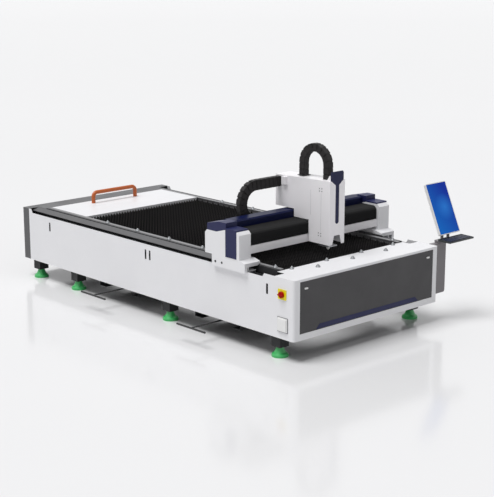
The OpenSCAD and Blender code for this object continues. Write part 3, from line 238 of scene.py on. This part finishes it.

# Bed rails: the same ground steel, bolted down through counterbores at a 60 mm pitch. The bolt heads sit
# below the surface. The shade in their counterbores is painted on the flat top as dark rounds along its
# middle.
rail_tone, counterbore_shade_tone = "#9C9EA1", "#1B1B1D"
bolted_rail = ground_steel("bolted_rail_steel", rail_tone, 0.32, 4, along_y)
rail_tree = bolted_rail.node_tree
rail_low, rail_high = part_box("bed_rails")
rail_wide, bolt_pitch, bolt_round, bolt_edge = 0.030, 0.060, 0.0075, 0.001
rail_place = add(rail_tree, "ShaderNodeTexCoord").outputs["Object"]
rail_axes = add(rail_tree, "ShaderNodeSeparateXYZ", {"Vector": rail_place}).outputs
rail_out = reckon(rail_tree, "SUBTRACT", rail_axes["X"], (rail_low.x + rail_high.x) / 2)
rail_far = reckon(rail_tree, "ABSOLUTE", rail_out)
bolt_across = reckon(rail_tree, "SUBTRACT", rail_far, (rail_high.x - rail_low.x - rail_wide) / 2)
bolt_along = reckon(rail_tree, "PINGPONG", rail_axes["Y"], bolt_pitch / 2)
bolt_spot = add(rail_tree, "ShaderNodeCombineXYZ", {"X": bolt_across, "Y": bolt_along}).outputs["Vector"]
bolt_near = add(rail_tree, "ShaderNodeVectorMath", {0: bolt_spot}, operation="LENGTH").outputs["Value"]
# painted shade: a dark round at each counterbore
counterbore_shade_mark = ranged(rail_tree, bolt_near, bolt_round - bolt_edge, bolt_round + bolt_edge, 1.0, 0.0)
feed(rail_tree, rail_tree.nodes["Principled BSDF"],
     {"Base Color": mixed(rail_tree, counterbore_shade_mark, linear(rail_tone), linear(counterbore_shade_tone))})
wear(bolted_rail, ["bed_rails"])


# Rack teeth: straight teeth hobbed into each rack bar at the pinion's own pitch. They start half a
# pitch from the pinion, so the two are in mesh at every place along the bed.
def copies_tree(name, extra, lay_out):
    """A node tree that sets copies of one unit at laid-out points and gives them one finish."""
    tree = bpy.data.node_groups.new(name, "GeometryNodeTree")
    for socket, kind in {"Unit": "Object", "Finish": "Material", **extra}.items():
        tree.interface.new_socket(name=socket, in_out="INPUT", socket_type="NodeSocket" + kind)
    tree.interface.new_socket(name="Mesh", in_out="OUTPUT", socket_type="NodeSocketGeometry")
    given = add(tree, "NodeGroupInput").outputs
    unit = add(tree, "GeometryNodeObjectInfo", {"Object": given["Unit"]}).outputs["Geometry"]
    copies = add(tree, "GeometryNodeInstanceOnPoints", {"Instance": unit, **lay_out(tree, given)})
    joined = add(tree, "GeometryNodeRealizeInstances", {"Geometry": copies.outputs["Instances"]})
    painted = add(tree, "GeometryNodeSetMaterial", {"Geometry": joined.outputs["Geometry"],
                                                    "Material": given["Finish"]})
    add(tree, "NodeGroupOutput", {"Mesh": painted.outputs["Geometry"]})
    return tree


def in_a_row(tree, given):
    line = add(tree, "GeometryNodeMeshLine", {"Count": given["Count"], "Start Location": given["Start"],
                                              "Offset": given["Step"]})
    return {"Points": line.outputs["Mesh"]}


def grow(name, tree, values):
    """Runs a node tree on an empty mesh and keeps its result as a plain mesh at the origin."""
    host = bpy.data.objects.new(name + "_host", bpy.data.meshes.new(name + "_host"))
    scene.collection.objects.link(host)
    grower = host.modifiers.new("grower", "NODES")
    grower.node_group = tree
    for item in tree.interface.items_tree:
        if item.in_out == "INPUT" and item.name in values:
            grower[item.identifier] = values[item.name]
    bpy.context.view_layer.update()
    ready = host.evaluated_get(bpy.context.evaluated_depsgraph_get())
    mesh = bpy.data.meshes.new_from_object(ready)
    mesh.name = name
    piece = bpy.data.objects.new(name, mesh)
    scene.collection.objects.link(piece)
    bpy.data.objects.remove(host)
    return piece


def shaped(name, shape):
    """A new object from a finished shape, with all its faces turned outwards."""
    bmesh.ops.recalc_face_normals(shape, faces=shape.faces)
    mesh = bpy.data.meshes.new(name)
    shape.to_mesh(mesh)
    shape.free()
    return bpy.data.objects.new(name, mesh)


def prism(name, outline, low, high, axis):
    """A closed prism: outline in the two axes after `axis`, from low to high along it."""
    shape = bmesh.new()
    rings = []
    for level in (low, high):
        ring = []
        for a, b in outline:
            point = [0, 0, 0]
            point[axis], point[(axis + 1) % 3], point[(axis + 2) % 3] = level, a, b
            ring.append(shape.verts.new(point))
        rings.append(ring)
    count = len(outline)
    shape.faces.new(rings[0][::-1])
    shape.faces.new(rings[1])
    for i in range(count):
        j = (i + 1) % count
        shape.faces.new((rings[0][i], rings[0][j], rings[1][j], rings[1][i]))
    return shaped(name, shape)


rows = copies_tree("row_of_units", {"Count": "Int", "Start": "Vector", "Step": "Vector"}, in_a_row)
rack_low, rack_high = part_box("bed_racks")
pinion_low, pinion_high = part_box("right_pinion")
pinion_y = (pinion_low.y + pinion_high.y) / 2
pinion_pitch_r, pinion_teeth = 0.020, 20
tooth_pitch = 2 * math.pi * pinion_pitch_r / pinion_teeth
teeth_before = int((pinion_y - rack_low.y) / tooth_pitch) - 1
tooth_count = int((rack_high.y - rack_low.y) / tooth_pitch) - 2
tooth_first = pinion_y - (teeth_before + 0.5) * tooth_pitch
tooth_h, tooth_sunk, root_half, tip_half, tooth_margin = 0.0036, 0.0002, 0.0014, 0.0007, 0.001
for name, side, face in (("right_rack_teeth", 1, rack_high.x), ("left_rack_teeth", -1, rack_low.x)):
    root, tip = -side * tooth_sunk, side * tooth_h
    flanks = [(root, -root_half), (tip, -tip_half), (tip, tip_half), (root, root_half)]
    tooth = prism(name + "_unit", flanks, rack_low.z + tooth_margin, rack_high.z - tooth_margin, 2)
    teeth = grow(name, rows, {"Unit": tooth, "Count": tooth_count, "Start": (face, tooth_first, 0),
                              "Step": (0, tooth_pitch, 0), "Finish": rail_steel})
    bpy.data.objects.remove(tooth)
    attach(teeth, "bed")

# Strips beside the slats: folded sheet, dark and mottled over most of the width, with a lighter grey band
# along each strip's inner edge.
strip_finish, strip_tree, strip_surface, strip_place = new_finish("two_tone_strip_steel")
strip_low, strip_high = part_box("stud_strips")
strip_wide, bright_share, inner_band_blur = 0.085, 0.42, 0.003
inner_band_edge = (strip_high.x - strip_low.x) / 2 - strip_wide * bright_share
strip_axes = add(strip_tree, "ShaderNodeSeparateXYZ", {"Vector": strip_place}).outputs
strip_out = reckon(strip_tree, "SUBTRACT", strip_axes["X"], (strip_low.x + strip_high.x) / 2)
strip_far = reckon(strip_tree, "ABSOLUTE", strip_out)
strip_inner_band = ranged(strip_tree, strip_far, inner_band_edge - inner_band_blur, inner_band_edge + inner_band_blur, 1.0, 0.0)
strip_mottle = noise(strip_tree, strip_place, 60, 4.0)
strip_dark = mixed(strip_tree, strip_mottle, linear("#1C1C1E"), linear("#2E2E31"))
feed(strip_tree, strip_surface, {"Base Color": mixed(strip_tree, strip_inner_band, strip_dark, linear("#858587")),
                                 "Roughness": 0.5})
wear(strip_finish, ["stud_strips"])

# Slats and their combs: plasma-cut mild steel in mill scale, smoked black by cutting. The tooth tips
# are burnt to a dull grey-brown, and scale flakes off in streaks below every gap between two teeth.
slat_finish, slat_tree, slat_surface, slat_place = new_finish("smoked_mill_scale")
slat_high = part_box("slats")[1]
slat_tooth, burnt_tip, clean_half = 0.042, 0.02, 0.004
slat_axes = add(slat_tree, "ShaderNodeSeparateXYZ", {"Vector": slat_place}).outputs
slat_soot = noise(slat_tree, slat_place, 35, 5.0, 0.65)
slat_dark = mixed(slat_tree, slat_soot, linear("#0B0B0C"), linear("#1A1A1B"))
slat_swing = reckon(slat_tree, "PINGPONG", slat_axes["X"], slat_tooth / 2)
slat_burn = ranged(slat_tree, slat_swing, clean_half, slat_tooth / 2, 0.0, 0.8)
slat_streak = mixed(slat_tree, slat_burn, slat_dark, linear("#322F30"))
slat_tip = ranged(slat_tree, slat_axes["Z"], slat_high.z - burnt_tip, slat_high.z)
feed(slat_tree, slat_surface, {"Base Color": mixed(slat_tree, slat_tip, slat_streak, linear("#302E2D")),
                               "Normal": bumps(slat_tree, slat_soot, 0.3, 0.001),
                               "Roughness": 0.65, "Specular IOR Level": 0.25})
wear(slat_finish, ["slats", "slat_combs"])

# Scrap drawers and T-handles: folded and welded black steel. The paint is thin, and the scrap that
# falls in scuffs it unevenly.
drawer_paint = paint("scuffed_black_paint", "#2A2A2C", "#1A1A1B",
                     rough=0.5, patch_mm=70, grain_mm=5, relief=0.3)
wear(drawer_paint, ["front_drawer", "rear_drawer", "front_drawer_handle", "rear_drawer_handle"])

# Main switch: a yellow moulded plate with a red rotary knob, both in glossy ABS. The grain left by
# the mould is drawn at 3 mm.
yellow_abs = paint("moulded_yellow_abs", "#EFE00C", "#E4D206",
                   rough=0.35, patch_mm=30, grain_mm=3, relief=0.05)
wear(yellow_abs, ["switch_plate"])
red_abs = paint("moulded_red_abs", "#B40806", "#9C0605",
                rough=0.3, patch_mm=20, grain_mm=3, relief=0.05, shine=0.15)
wear(red_abs, ["switch_knob"])

# Console: a keyboard on a moulded tray, and a bright display under a dulled front sheet. The display
# shows a plain blue that darkens towards its upper right corner, with a soft glow near its middle.
tray_abs = paint("moulded_dark_abs", "#2D3233", "#262A2B",
                 rough=0.45, patch_mm=40, grain_mm=3, relief=0.12)
wear(tray_abs, ["keyboard_tray"])
key_abs = paint("moulded_key_abs", "#262B40", "#1E2233",
                rough=0.45, patch_mm=25, grain_mm=2, relief=0.12)
wear(key_abs, ["keyboard"])
glow, glow_tree, glow_surface, glow_place = new_finish("lit_display_glass")
screen_low, screen_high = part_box("monitor_screen")
screen_size = screen_high - screen_low
glow_shares, glow_r, glow_peak = Vector((0.62, 0.52, 0.52)), 0.16, 0.6
glow_middle = screen_low + screen_size * glow_shares
glow_axes = add(glow_tree, "ShaderNodeSeparateXYZ", {"Vector": glow_place}).outputs
glow_up = ranged(glow_tree, glow_axes["Z"], screen_low.z, screen_high.z)
glow_across = ranged(glow_tree, glow_axes["X"], screen_low.x, screen_high.x)
glow_share = ranged(glow_tree, reckon(glow_tree, "ADD", glow_up, glow_across), 0.2, 1.7)
glow_tone = mixed(glow_tree, glow_share, linear("#0A62BC"), linear("#0A2E9A"))
glow_off = add(glow_tree, "ShaderNodeVectorMath", {0: glow_place, 1: glow_middle}, operation="DISTANCE")
glow_near = ranged(glow_tree, glow_off.outputs["Value"], 0.0, glow_r, glow_peak, 0.0)
feed(glow_tree, glow_surface, {"Emission Color": mixed(glow_tree, glow_near, glow_tone, linear("#2E88E0")),
                               "Emission Strength": 0.9, "Base Color": linear("#06080F"),
                               "Roughness": 0.3, "Specular IOR Level": 0.05})
wear(glow, ["monitor_screen"])

# Beam cover and chain tray: folded sheet in very dark blue powder coat. It is deeper and duller than
# the navy of the trims.
deep_blue_powder = paint("deep_blue_powder_coat", "#07123F", "#050B2E",
                         rough=0.4, patch_mm=300, grain_mm=6, relief=0.06, shine=0.15)
wear(deep_blue_powder, ["beam_cover", "chain_tray"])

# Bellows: black coated cloth sewn into sharp pleats over stiffeners, sliding over the cross rails.
# One end is screwed to the end cover and the other to the carriage, so it folds as the carriage moves.
# The weave is drawn at 4 mm so that it shows.
bellows_cloth, cloth_tree, cloth_surface, cloth_place = new_finish("coated_bellows_cloth")
cloth_worn = noise(cloth_tree, cloth_place, 120, 3.0)
cloth_weave = noise(cloth_tree, cloth_place, 4, 2.0)
cloth_tone = mixed(cloth_tree, cloth_worn, linear("#0C0C0D"), linear("#151516"))
feed(cloth_tree, cloth_surface, {"Base Color": cloth_tone, "Roughness": 0.6, "Specular IOR Level": 0.2,
                                 "Normal": bumps(cloth_tree, cloth_weave, 0.15, 0.0005)})
pleat_count, pleat_depth = 60, 0.006
nose, nose_knee_y, nose_knee_z = 0.034, 0.010, 0.016
lining_y, lining_z, hem = 0.0175, 0.0145, 0.0005
for name, side in (("left_bellows", -1), ("right_bellows", 1)):
    low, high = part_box(name)
    inner, outer = (low.x, high.x) if side > 0 else (high.x, low.x)
    pleat_pitch = (outer - inner) / pleat_count
    foot_z, rear_y = low.z + hem, high.y - hem
    ridge, valley = ([(front, foot_z), (front, top - nose),
                      (front + nose_knee_y, top - nose + nose_knee_z), (front + nose, top), (rear_y, top)]
                     for front, top in ((low.y, high.z), (low.y + pleat_depth, high.z - pleat_depth)))
    lining = [(rear_y, high.z - lining_z), (low.y + lining_y + nose, high.z - lining_z),
              (low.y + lining_y, high.z - lining_z - nose), (low.y + lining_y, foot_z)]
    fold = bmesh.new()
    rings = [[fold.verts.new((x, y, z)) for y, z in ring + lining]
             for x, ring in ((0, valley), (pleat_pitch / 2, ridge), (pleat_pitch, valley))]
    size = len(rings[0])
    for first, second in zip(rings, rings[1:]):
        for i in range(size):
            j = (i + 1) % size
            fold.faces.new((first[i], first[j], second[j], second[i]))
    pleat = shaped(name + "_pleat", fold)
    skirt = grow(name + "_cloth", rows, {"Unit": pleat, "Count": pleat_count, "Start": (inner, 0, 0),
                                         "Step": (pleat_pitch, 0, 0), "Finish": bellows_cloth})
    bpy.data.objects.remove(pleat)
    whole = bmesh.new()
    whole.from_mesh(skirt.data)
    bmesh.ops.remove_doubles(whole, verts=whole.verts, dist=0.00005)
    bmesh.ops.holes_fill(whole, edges=[edge for edge in whole.edges if edge.is_boundary])
    bmesh.ops.recalc_face_normals(whole, faces=whole.faces)
    whole.to_mesh(skirt.data)
    whole.free()
    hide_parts(name)
    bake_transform(skirt)


# Fixings: blackened socket screws, in fours through the housing's side sheets, in pairs through the
# saddle feet and in two rows round the rear cap. The joints of the housing's lift-off side sheets show
# as fine lines.
def at_places(tree, given):
    return {"Points": add(tree, "GeometryNodeObjectInfo", {"Object": given["Places"]}).outputs["Geometry"]}


def set_out(name, unit, points, finish):
    """Puts one copy of a unit at each point and keeps the result as a plain mesh."""
    spots = bpy.data.meshes.new(name + "_places")
    spots.from_pydata(points, [], [])
    marks = bpy.data.objects.new(name + "_places", spots)
    for helper in (marks, unit):
        scene.collection.objects.link(helper)
    piece = grow(name, places, {"Places": marks, "Unit": unit, "Finish": finish})
    for helper in (marks, unit):
        bpy.data.objects.remove(helper)
    return piece


def ring_of(round_r, count):
    turns = [2 * math.pi * i / count for i in range(count)]
    return [(round_r * math.cos(turn), round_r * math.sin(turn)) for turn in turns]


def block_of(low_a, low_b, high_a, high_b):
    return [(low_a, low_b), (high_a, low_b), (high_a, high_b), (low_a, high_b)]


places = copies_tree("units_at_places", {"Places": "Object"}, at_places)
screw_black = paint("blackened_screw_steel", "#2B2B2D", "#1E1E20",
                    rough=0.4, patch_mm=8, grain_mm=2, relief=0.1)
seam_shadow = paint("sheet_joint_shadow", "#B9B9BC", "#B0B0B3",
                    rough=0.6, patch_mm=60, grain_mm=4, relief=0.05)
nozzle_low, nozzle_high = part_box("nozzle")
house_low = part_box("head_housing")[0]
house_middle, house_half = (nozzle_low.x + nozzle_high.x) / 2, 0.115
house_faces = (house_middle - house_half, house_middle + house_half)
four_middles, four_half_y, four_half_z = ((0.139, 0.593), (0.147, 0.102)), 0.018, 0.0145
house_screw_r, house_screw_sides, house_screw_half = 0.0055, 8, 0.002
screw_points = [(face, house_low.y + back + y, house_low.z + up + z) for face in house_faces
                for back, up in four_middles for y in (-four_half_y, four_half_y)
                for z in (-four_half_z, four_half_z)]
screw_head = prism("housing_screw_unit", ring_of(house_screw_r, house_screw_sides),
                   -house_screw_half, house_screw_half, 0)
house_screws = set_out("housing_screws", screw_head, screw_points, screw_black)
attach(house_screws, "carriage")

seam_half_w, seam_half_t = 0.0012, 0.0006
for name, back, low, high in (("front_sheet_joints", 0.132, 0.137, 0.556),
                              ("rear_sheet_joints", 0.288, 0.300, 0.577)):
    outline = block_of(-seam_half_w, house_low.z + low, seam_half_w, house_low.z + high)
    line = prism(name + "_unit", outline, -seam_half_t, seam_half_t, 0)
    joints = set_out(name, line, [(face, house_low.y + back, 0) for face in house_faces], seam_shadow)
    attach(joints, "carriage")

saddle_low, saddle_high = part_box("saddle_feet")
saddle_screw_z, saddle_screw_backs = 0.880, (0.357, 0.460)
saddle_screw_r, saddle_screw_sides, saddle_screw_half = 0.0130, 10, 0.0025
saddle_head = prism("saddle_screw_unit", ring_of(saddle_screw_r, saddle_screw_sides),
                    -saddle_screw_half, saddle_screw_half, 0)
saddle_points = [(face, saddle_low.y + back, saddle_screw_z) for face in (saddle_low.x, saddle_high.x)
                 for back in saddle_screw_backs]
saddle_screws = set_out("saddle_screws", saddle_head, saddle_points, screw_black)
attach(saddle_screws, "gantry")

cap_low, cap_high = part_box("rear_cap")
cap_screw_count, cap_in_x, cap_in_z = 7, 0.06, 0.045
cap_screw_r, cap_screw_sides, cap_screw_half = 0.0085, 10, 0.002
cap_step = (cap_high.x - cap_low.x - 2 * cap_in_x) / (cap_screw_count - 1)
cap_head = prism("rear_cap_screw_unit", ring_of(cap_screw_r, cap_screw_sides),
                 -cap_screw_half, cap_screw_half, 1)
cap_points = [(cap_low.x + cap_in_x + i * cap_step, cap_high.y - cap_screw_half, z)
              for i in range(cap_screw_count) for z in (cap_low.z + cap_in_z, cap_high.z - cap_in_z)]
cap_screws = set_out("rear_cap_screws", cap_head, cap_points, screw_black)
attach(cap_screws, "bed")

# Hatch seal: a grey rubber lip round the socket hatch, pressed between its cover and the side panel.
# Two rails close its top and foot, and two posts close its sides.
seal_rubber = paint("grey_seal_rubber", "#8B8B8E", "#7C7C80",
                    rough=0.7, patch_mm=30, grain_mm=3, relief=0.1, shine=0.2)
hatch_low, hatch_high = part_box("socket_hatch")
panel_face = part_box("left_side_panel")[0].x
lip_w, lip_out = 0.006, 0.005
rail_unit = prism("hatch_seal_rail_unit", block_of(hatch_low.y - lip_w, -lip_w, hatch_high.y + lip_w, 0),
                  -lip_out, 0, 0)
rail_points = [(panel_face, 0, z) for z in (hatch_low.z, hatch_high.z + lip_w)]
post_unit = prism("hatch_seal_post_unit", block_of(-lip_w, hatch_low.z, 0, hatch_high.z), -lip_out, 0, 0)
post_points = [(panel_face, y, 0) for y in (hatch_low.y, hatch_high.y + lip_w)]
for name, unit, points in (("hatch_seal_rails", rail_unit, rail_points),
                           ("hatch_seal_posts", post_unit, post_points)):
    lip = set_out(name, unit, points, seal_rubber)
    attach(lip, "bed")


# Drag chains: moulded nylon links, each with two side plates, two cross bars and snap pins, carrying
# the hoses. One end is fixed and the other follows its slide, with a loop between.
def on_a_path(tree, given):
    path = add(tree, "GeometryNodeObjectInfo", {"Object": given["Path"]}).outputs["Geometry"]
    spots = add(tree, "GeometryNodeCurveToPoints", {"Curve": path, "Count": given["Count"]})
    return {"Points": spots.outputs["Points"], "Rotation": spots.outputs["Rotation"]}


def chain_link(name, length, width, height):
    """One link round the path: Z runs along it, X across the bend and Y along the width."""
    shape = bmesh.new()

    def block(x_span, y_span, z_span, soften):
        spans = [sorted(span) for span in (x_span, y_span, z_span)]
        made = bmesh.ops.create_cube(shape, size=1)["verts"]
        for vert in made:
            vert.co = [low + (high - low) * (at + 0.5) for at, (low, high) in zip(vert.co, spans)]
        if soften:
            edges = list({edge for vert in made for edge in vert.link_edges})
            bmesh.ops.bevel(shape, geom=edges, offset=soften, segments=1, affect="EDGES")

    half, wall = height / 2, width * 0.1
    soft, fine = height * 0.05, height * 0.03
    plate_ends, tongue_ends = (-length * 0.5, length * 0.46), (length * 0.1, length * 0.64)
    bar_ends, core_ends = (-length * 0.47, length * 0.44), (-length * 0.57, length * 0.57)
    tongue_in, tongue_half, core_half, core_side = wall * 0.55, half * 0.86, half * 0.84, width * 0.42
    bar_out, bar_in = half * 0.98, half * 0.7
    pin_r, pin_sides, pin_l, pin_in, pin_back = height * 0.16, 10, wall * 0.5, wall * 0.2, length * 0.3
    for side in (-1, 1):
        edge = side * width / 2
        block((-half, half), (edge, edge - side * wall), plate_ends, soft)
        inset = edge - side * tongue_in
        block((-tongue_half, tongue_half), (inset, inset - side * wall), tongue_ends, soft)
        pin = bmesh.ops.create_cone(shape, cap_ends=True, segments=pin_sides, radius1=pin_r, radius2=pin_r,
                                    depth=pin_l)["verts"]
        bmesh.ops.rotate(shape, verts=pin, matrix=Matrix.Rotation(math.pi / 2, 3, "X"))
        bmesh.ops.translate(shape, verts=pin, vec=(0, edge - side * pin_in, -pin_back))
        block((side * bar_out, side * bar_in), (wall - width / 2, width / 2 - wall), bar_ends, fine)
    block((-core_half, core_half), (-core_side, core_side), core_ends, 0)
    return shaped(name, shape)


def path_of(name, points):
    curve = bpy.data.curves.new(name, "CURVE")
    curve.dimensions = "3D"
    spline = curve.splines.new("POLY")
    spline.points.add(len(points) - 1)
    for spot, point in zip(spline.points, points):
        spot.co = (*point, 1)
    curve.twist_mode = "Z_UP"
    return bpy.data.objects.new(name, curve)


def half_turn(middle, first, second, steps=24):
    """Points round half a circle that leaves along second from the end of first."""
    turns = [math.pi * i / steps for i in range(1, steps + 1)]
    return [middle + first * math.cos(turn) + second * math.sin(turn) for turn in turns]


def chain_along(name, points, near_pitch, width, height):
    """A chain of whole links along the points, with how many there are and their exact pitch."""
    run = sum((b - a).length for a, b in zip(points, points[1:]))
    count = round(run / near_pitch)
    pitch = run / (count - 1)
    link = chain_link(name + "_link", pitch, width, height)
    path = path_of(name + "_route", points)
    for helper in (link, path):
        scene.collection.objects.link(helper)
    chain = grow(name + "_links", paths, {"Path": path, "Unit": link, "Count": count,
                                          "Finish": chain_nylon})
    for helper in (link, path):
        bpy.data.objects.remove(helper)
    return chain, count, pitch


paths = copies_tree("links_on_path", {"Path": "Object", "Count": "Int"}, on_a_path)
chain_nylon = paint("moulded_chain_nylon", "#201C1D", "#161415",
                    rough=0.5, patch_mm=50, grain_mm=4, relief=0.2, shine=0.3)
chain_low, chain_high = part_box("cross_chain")
chain_thick, chain_near_pitch, chain_clear = 0.065, 0.060, 0.002
fixed_in, bracket_in = 0.03, 0.034
chain_width = chain_high.y - chain_low.y - chain_clear
chain_y = (chain_low.y + chain_high.y) / 2
top_z, low_z = chain_high.z - chain_thick / 2, chain_low.z + chain_thick / 2
bend_r = (top_z - low_z) / 2
bend_middle = Vector((chain_low.x + bend_r + chain_thick / 2 + chain_clear, chain_y, low_z + bend_r))
fixed_end = Vector((chain_high.x - fixed_in, chain_y, low_z))
moving_end = Vector((house_faces[0] - bracket_in, chain_y, top_z))
bend_down, bend_left = Vector((0, 0, -bend_r)), Vector((-bend_r, 0, 0))
route = [fixed_end, bend_middle + bend_down, *half_turn(bend_middle, bend_down, bend_left), moving_end]
cross_chain, cross_count, cross_pitch = chain_along("cross_chain", route, chain_near_pitch, chain_width,
                                                    chain_thick)


# The bend of the cross chain rolls half as far as the carriage goes. So it keeps its curve, and the
# lower run and the upper run change length on either side of it.
def links_between(name, first, last):
    """The cross chain's links from first up to last, as a piece of their own."""
    mesh = cross_chain.data.copy()
    per_link = len(mesh.vertices) // cross_count
    shape = bmesh.new()
    shape.from_mesh(mesh)
    spare = [vert for vert in shape.verts if not first <= vert.index // per_link < last]
    bmesh.ops.delete(shape, geom=spare, context="VERTS")
    shape.to_mesh(mesh)
    shape.free()
    piece = bpy.data.objects.new(name, mesh)
    scene.collection.objects.link(piece)
    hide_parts("cross_chain")
    return piece


low_run = Vector((fixed_end.x - bend_middle.x, 0, 0))
bend_first = math.ceil(low_run.x / cross_pitch)
bend_last = math.floor((low_run.x + math.pi * bend_r) / cross_pitch) + 1
chain_low_run = links_between("cross_chain_low_run", 0, bend_first)
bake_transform(chain_low_run)
chain_bend = links_between("cross_chain_bend", bend_first, bend_last)
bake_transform(chain_bend)
chain_high_run = links_between("cross_chain_high_run", bend_last, cross_count)
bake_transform(chain_high_run)
bpy.data.objects.remove(cross_chain)

# Head chain: the same links in an upright loop, from a foot on the housing's roof to the head's slide.
# The slide's end moves a few centimetres, and the loop follows it.
head_low, head_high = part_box("head_chain")
head_thick, head_width, head_near_pitch = 0.070, 0.088, 0.062
head_rear_in, head_top_in, head_end_in, head_tall = 0.012, 0.013, 0.035, 0.377
head_rear = head_high.y - head_rear_in - head_thick / 2
head_front = head_low.y + head_thick / 2
head_bend_r = (head_rear - head_front) / 2
head_x = (head_low.x + head_high.x) / 2
head_bend_z = head_high.z - head_top_in - head_thick / 2 - head_bend_r
roof_z = head_high.z - head_tall
head_middle = Vector((head_x, head_front + head_bend_r, head_bend_z))
bend_back, bend_up = Vector((0, head_bend_r, 0)), Vector((0, 0, head_bend_r))
loop_foot = Vector((head_x, head_rear, roof_z + head_end_in))
loop_end = Vector((head_x, head_front, head_low.z + head_end_in))
loop = [loop_foot, head_middle + bend_back, *half_turn(head_middle, bend_back, bend_up), loop_end]
head_chain = chain_along("head_chain", loop, head_near_pitch, head_width, head_thick)[0]
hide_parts("head_chain")
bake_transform(head_chain)

# Foot of the head chain: a pressed steel plate on the housing's roof that the last link is pinned to.
# Its top edges are rounded off by the press.
plate_half_y, plate_half_x, plate_round, plate_seat, plate_h = 0.047, 0.056, 0.002, 0.0015, 0.008
plate_under, plate_top = roof_z + plate_seat, roof_z + plate_h
plate_left, plate_right = head_rear - plate_half_y, head_rear + plate_half_y
plate_outline = [(plate_left, plate_under), (plate_right, plate_under),
                 (plate_right, plate_top - plate_round), (plate_right - plate_round, plate_top),
                 (plate_left + plate_round, plate_top), (plate_left, plate_top - plate_round)]
chain_plate = prism("head_chain_foot", plate_outline, head_x - plate_half_x, head_x + plate_half_x, 0)
scene.collection.objects.link(chain_plate)
chain_plate.data.materials.append(screw_black)
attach(chain_plate, "carriage")

# Studio: a pale seamless floor with a soft sheen under a white surround, and one broad light from
# overhead. The surround looks white, but it lights the machine less than it shows.
floor_half = 150
floor_mesh = bpy.data.meshes.new("floor")
floor_mesh.from_pydata([(x, y, 0) for x, y in block_of(-floor_half, -floor_half, floor_half, floor_half)],
                       [], [(0, 1, 2, 3)])
floor = bpy.data.objects.new("floor", floor_mesh)
scene.collection.objects.link(floor)
floor_finish, floor_tree, floor_surface = new_finish("pale_studio_floor")[:3]
feed(floor_tree, floor_surface, {"Base Color": linear("#EAEAEB"), "Roughness": 0.13,
                                 "Specular IOR Level": 0.42})
floor_mesh.materials.append(floor_finish)

world = bpy.data.worlds.new("studio")
scene.world = world
world.use_nodes = True
world_tree = world.node_tree
rays = add(world_tree, "ShaderNodeLightPath").outputs
direct = reckon(world_tree, "ADD", rays["Is Camera Ray"], rays["Is Glossy Ray"])
seen = reckon(world_tree, "ADD", direct, rays["Is Transmission Ray"])
lit_level, seen_level = 0.4, 1.0
feed(world_tree, world_tree.nodes["Background"],
     {"Color": linear("#F4F4F5"), "Strength": ranged(world_tree, seen, 0.0, 1.0, lit_level, seen_level)})
sun = bpy.data.lights.new("overhead_light", "SUN")
sun.energy, sun.angle = 2.4, math.radians(30)
holder = bpy.data.objects.new("overhead_light", sun)
scene.collection.objects.link(holder)
holder.rotation_euler = Vector((0.33, -0.1, -0.94)).to_track_quat("-Z", "Y").to_euler()
scene.view_settings.view_transform = "Standard"
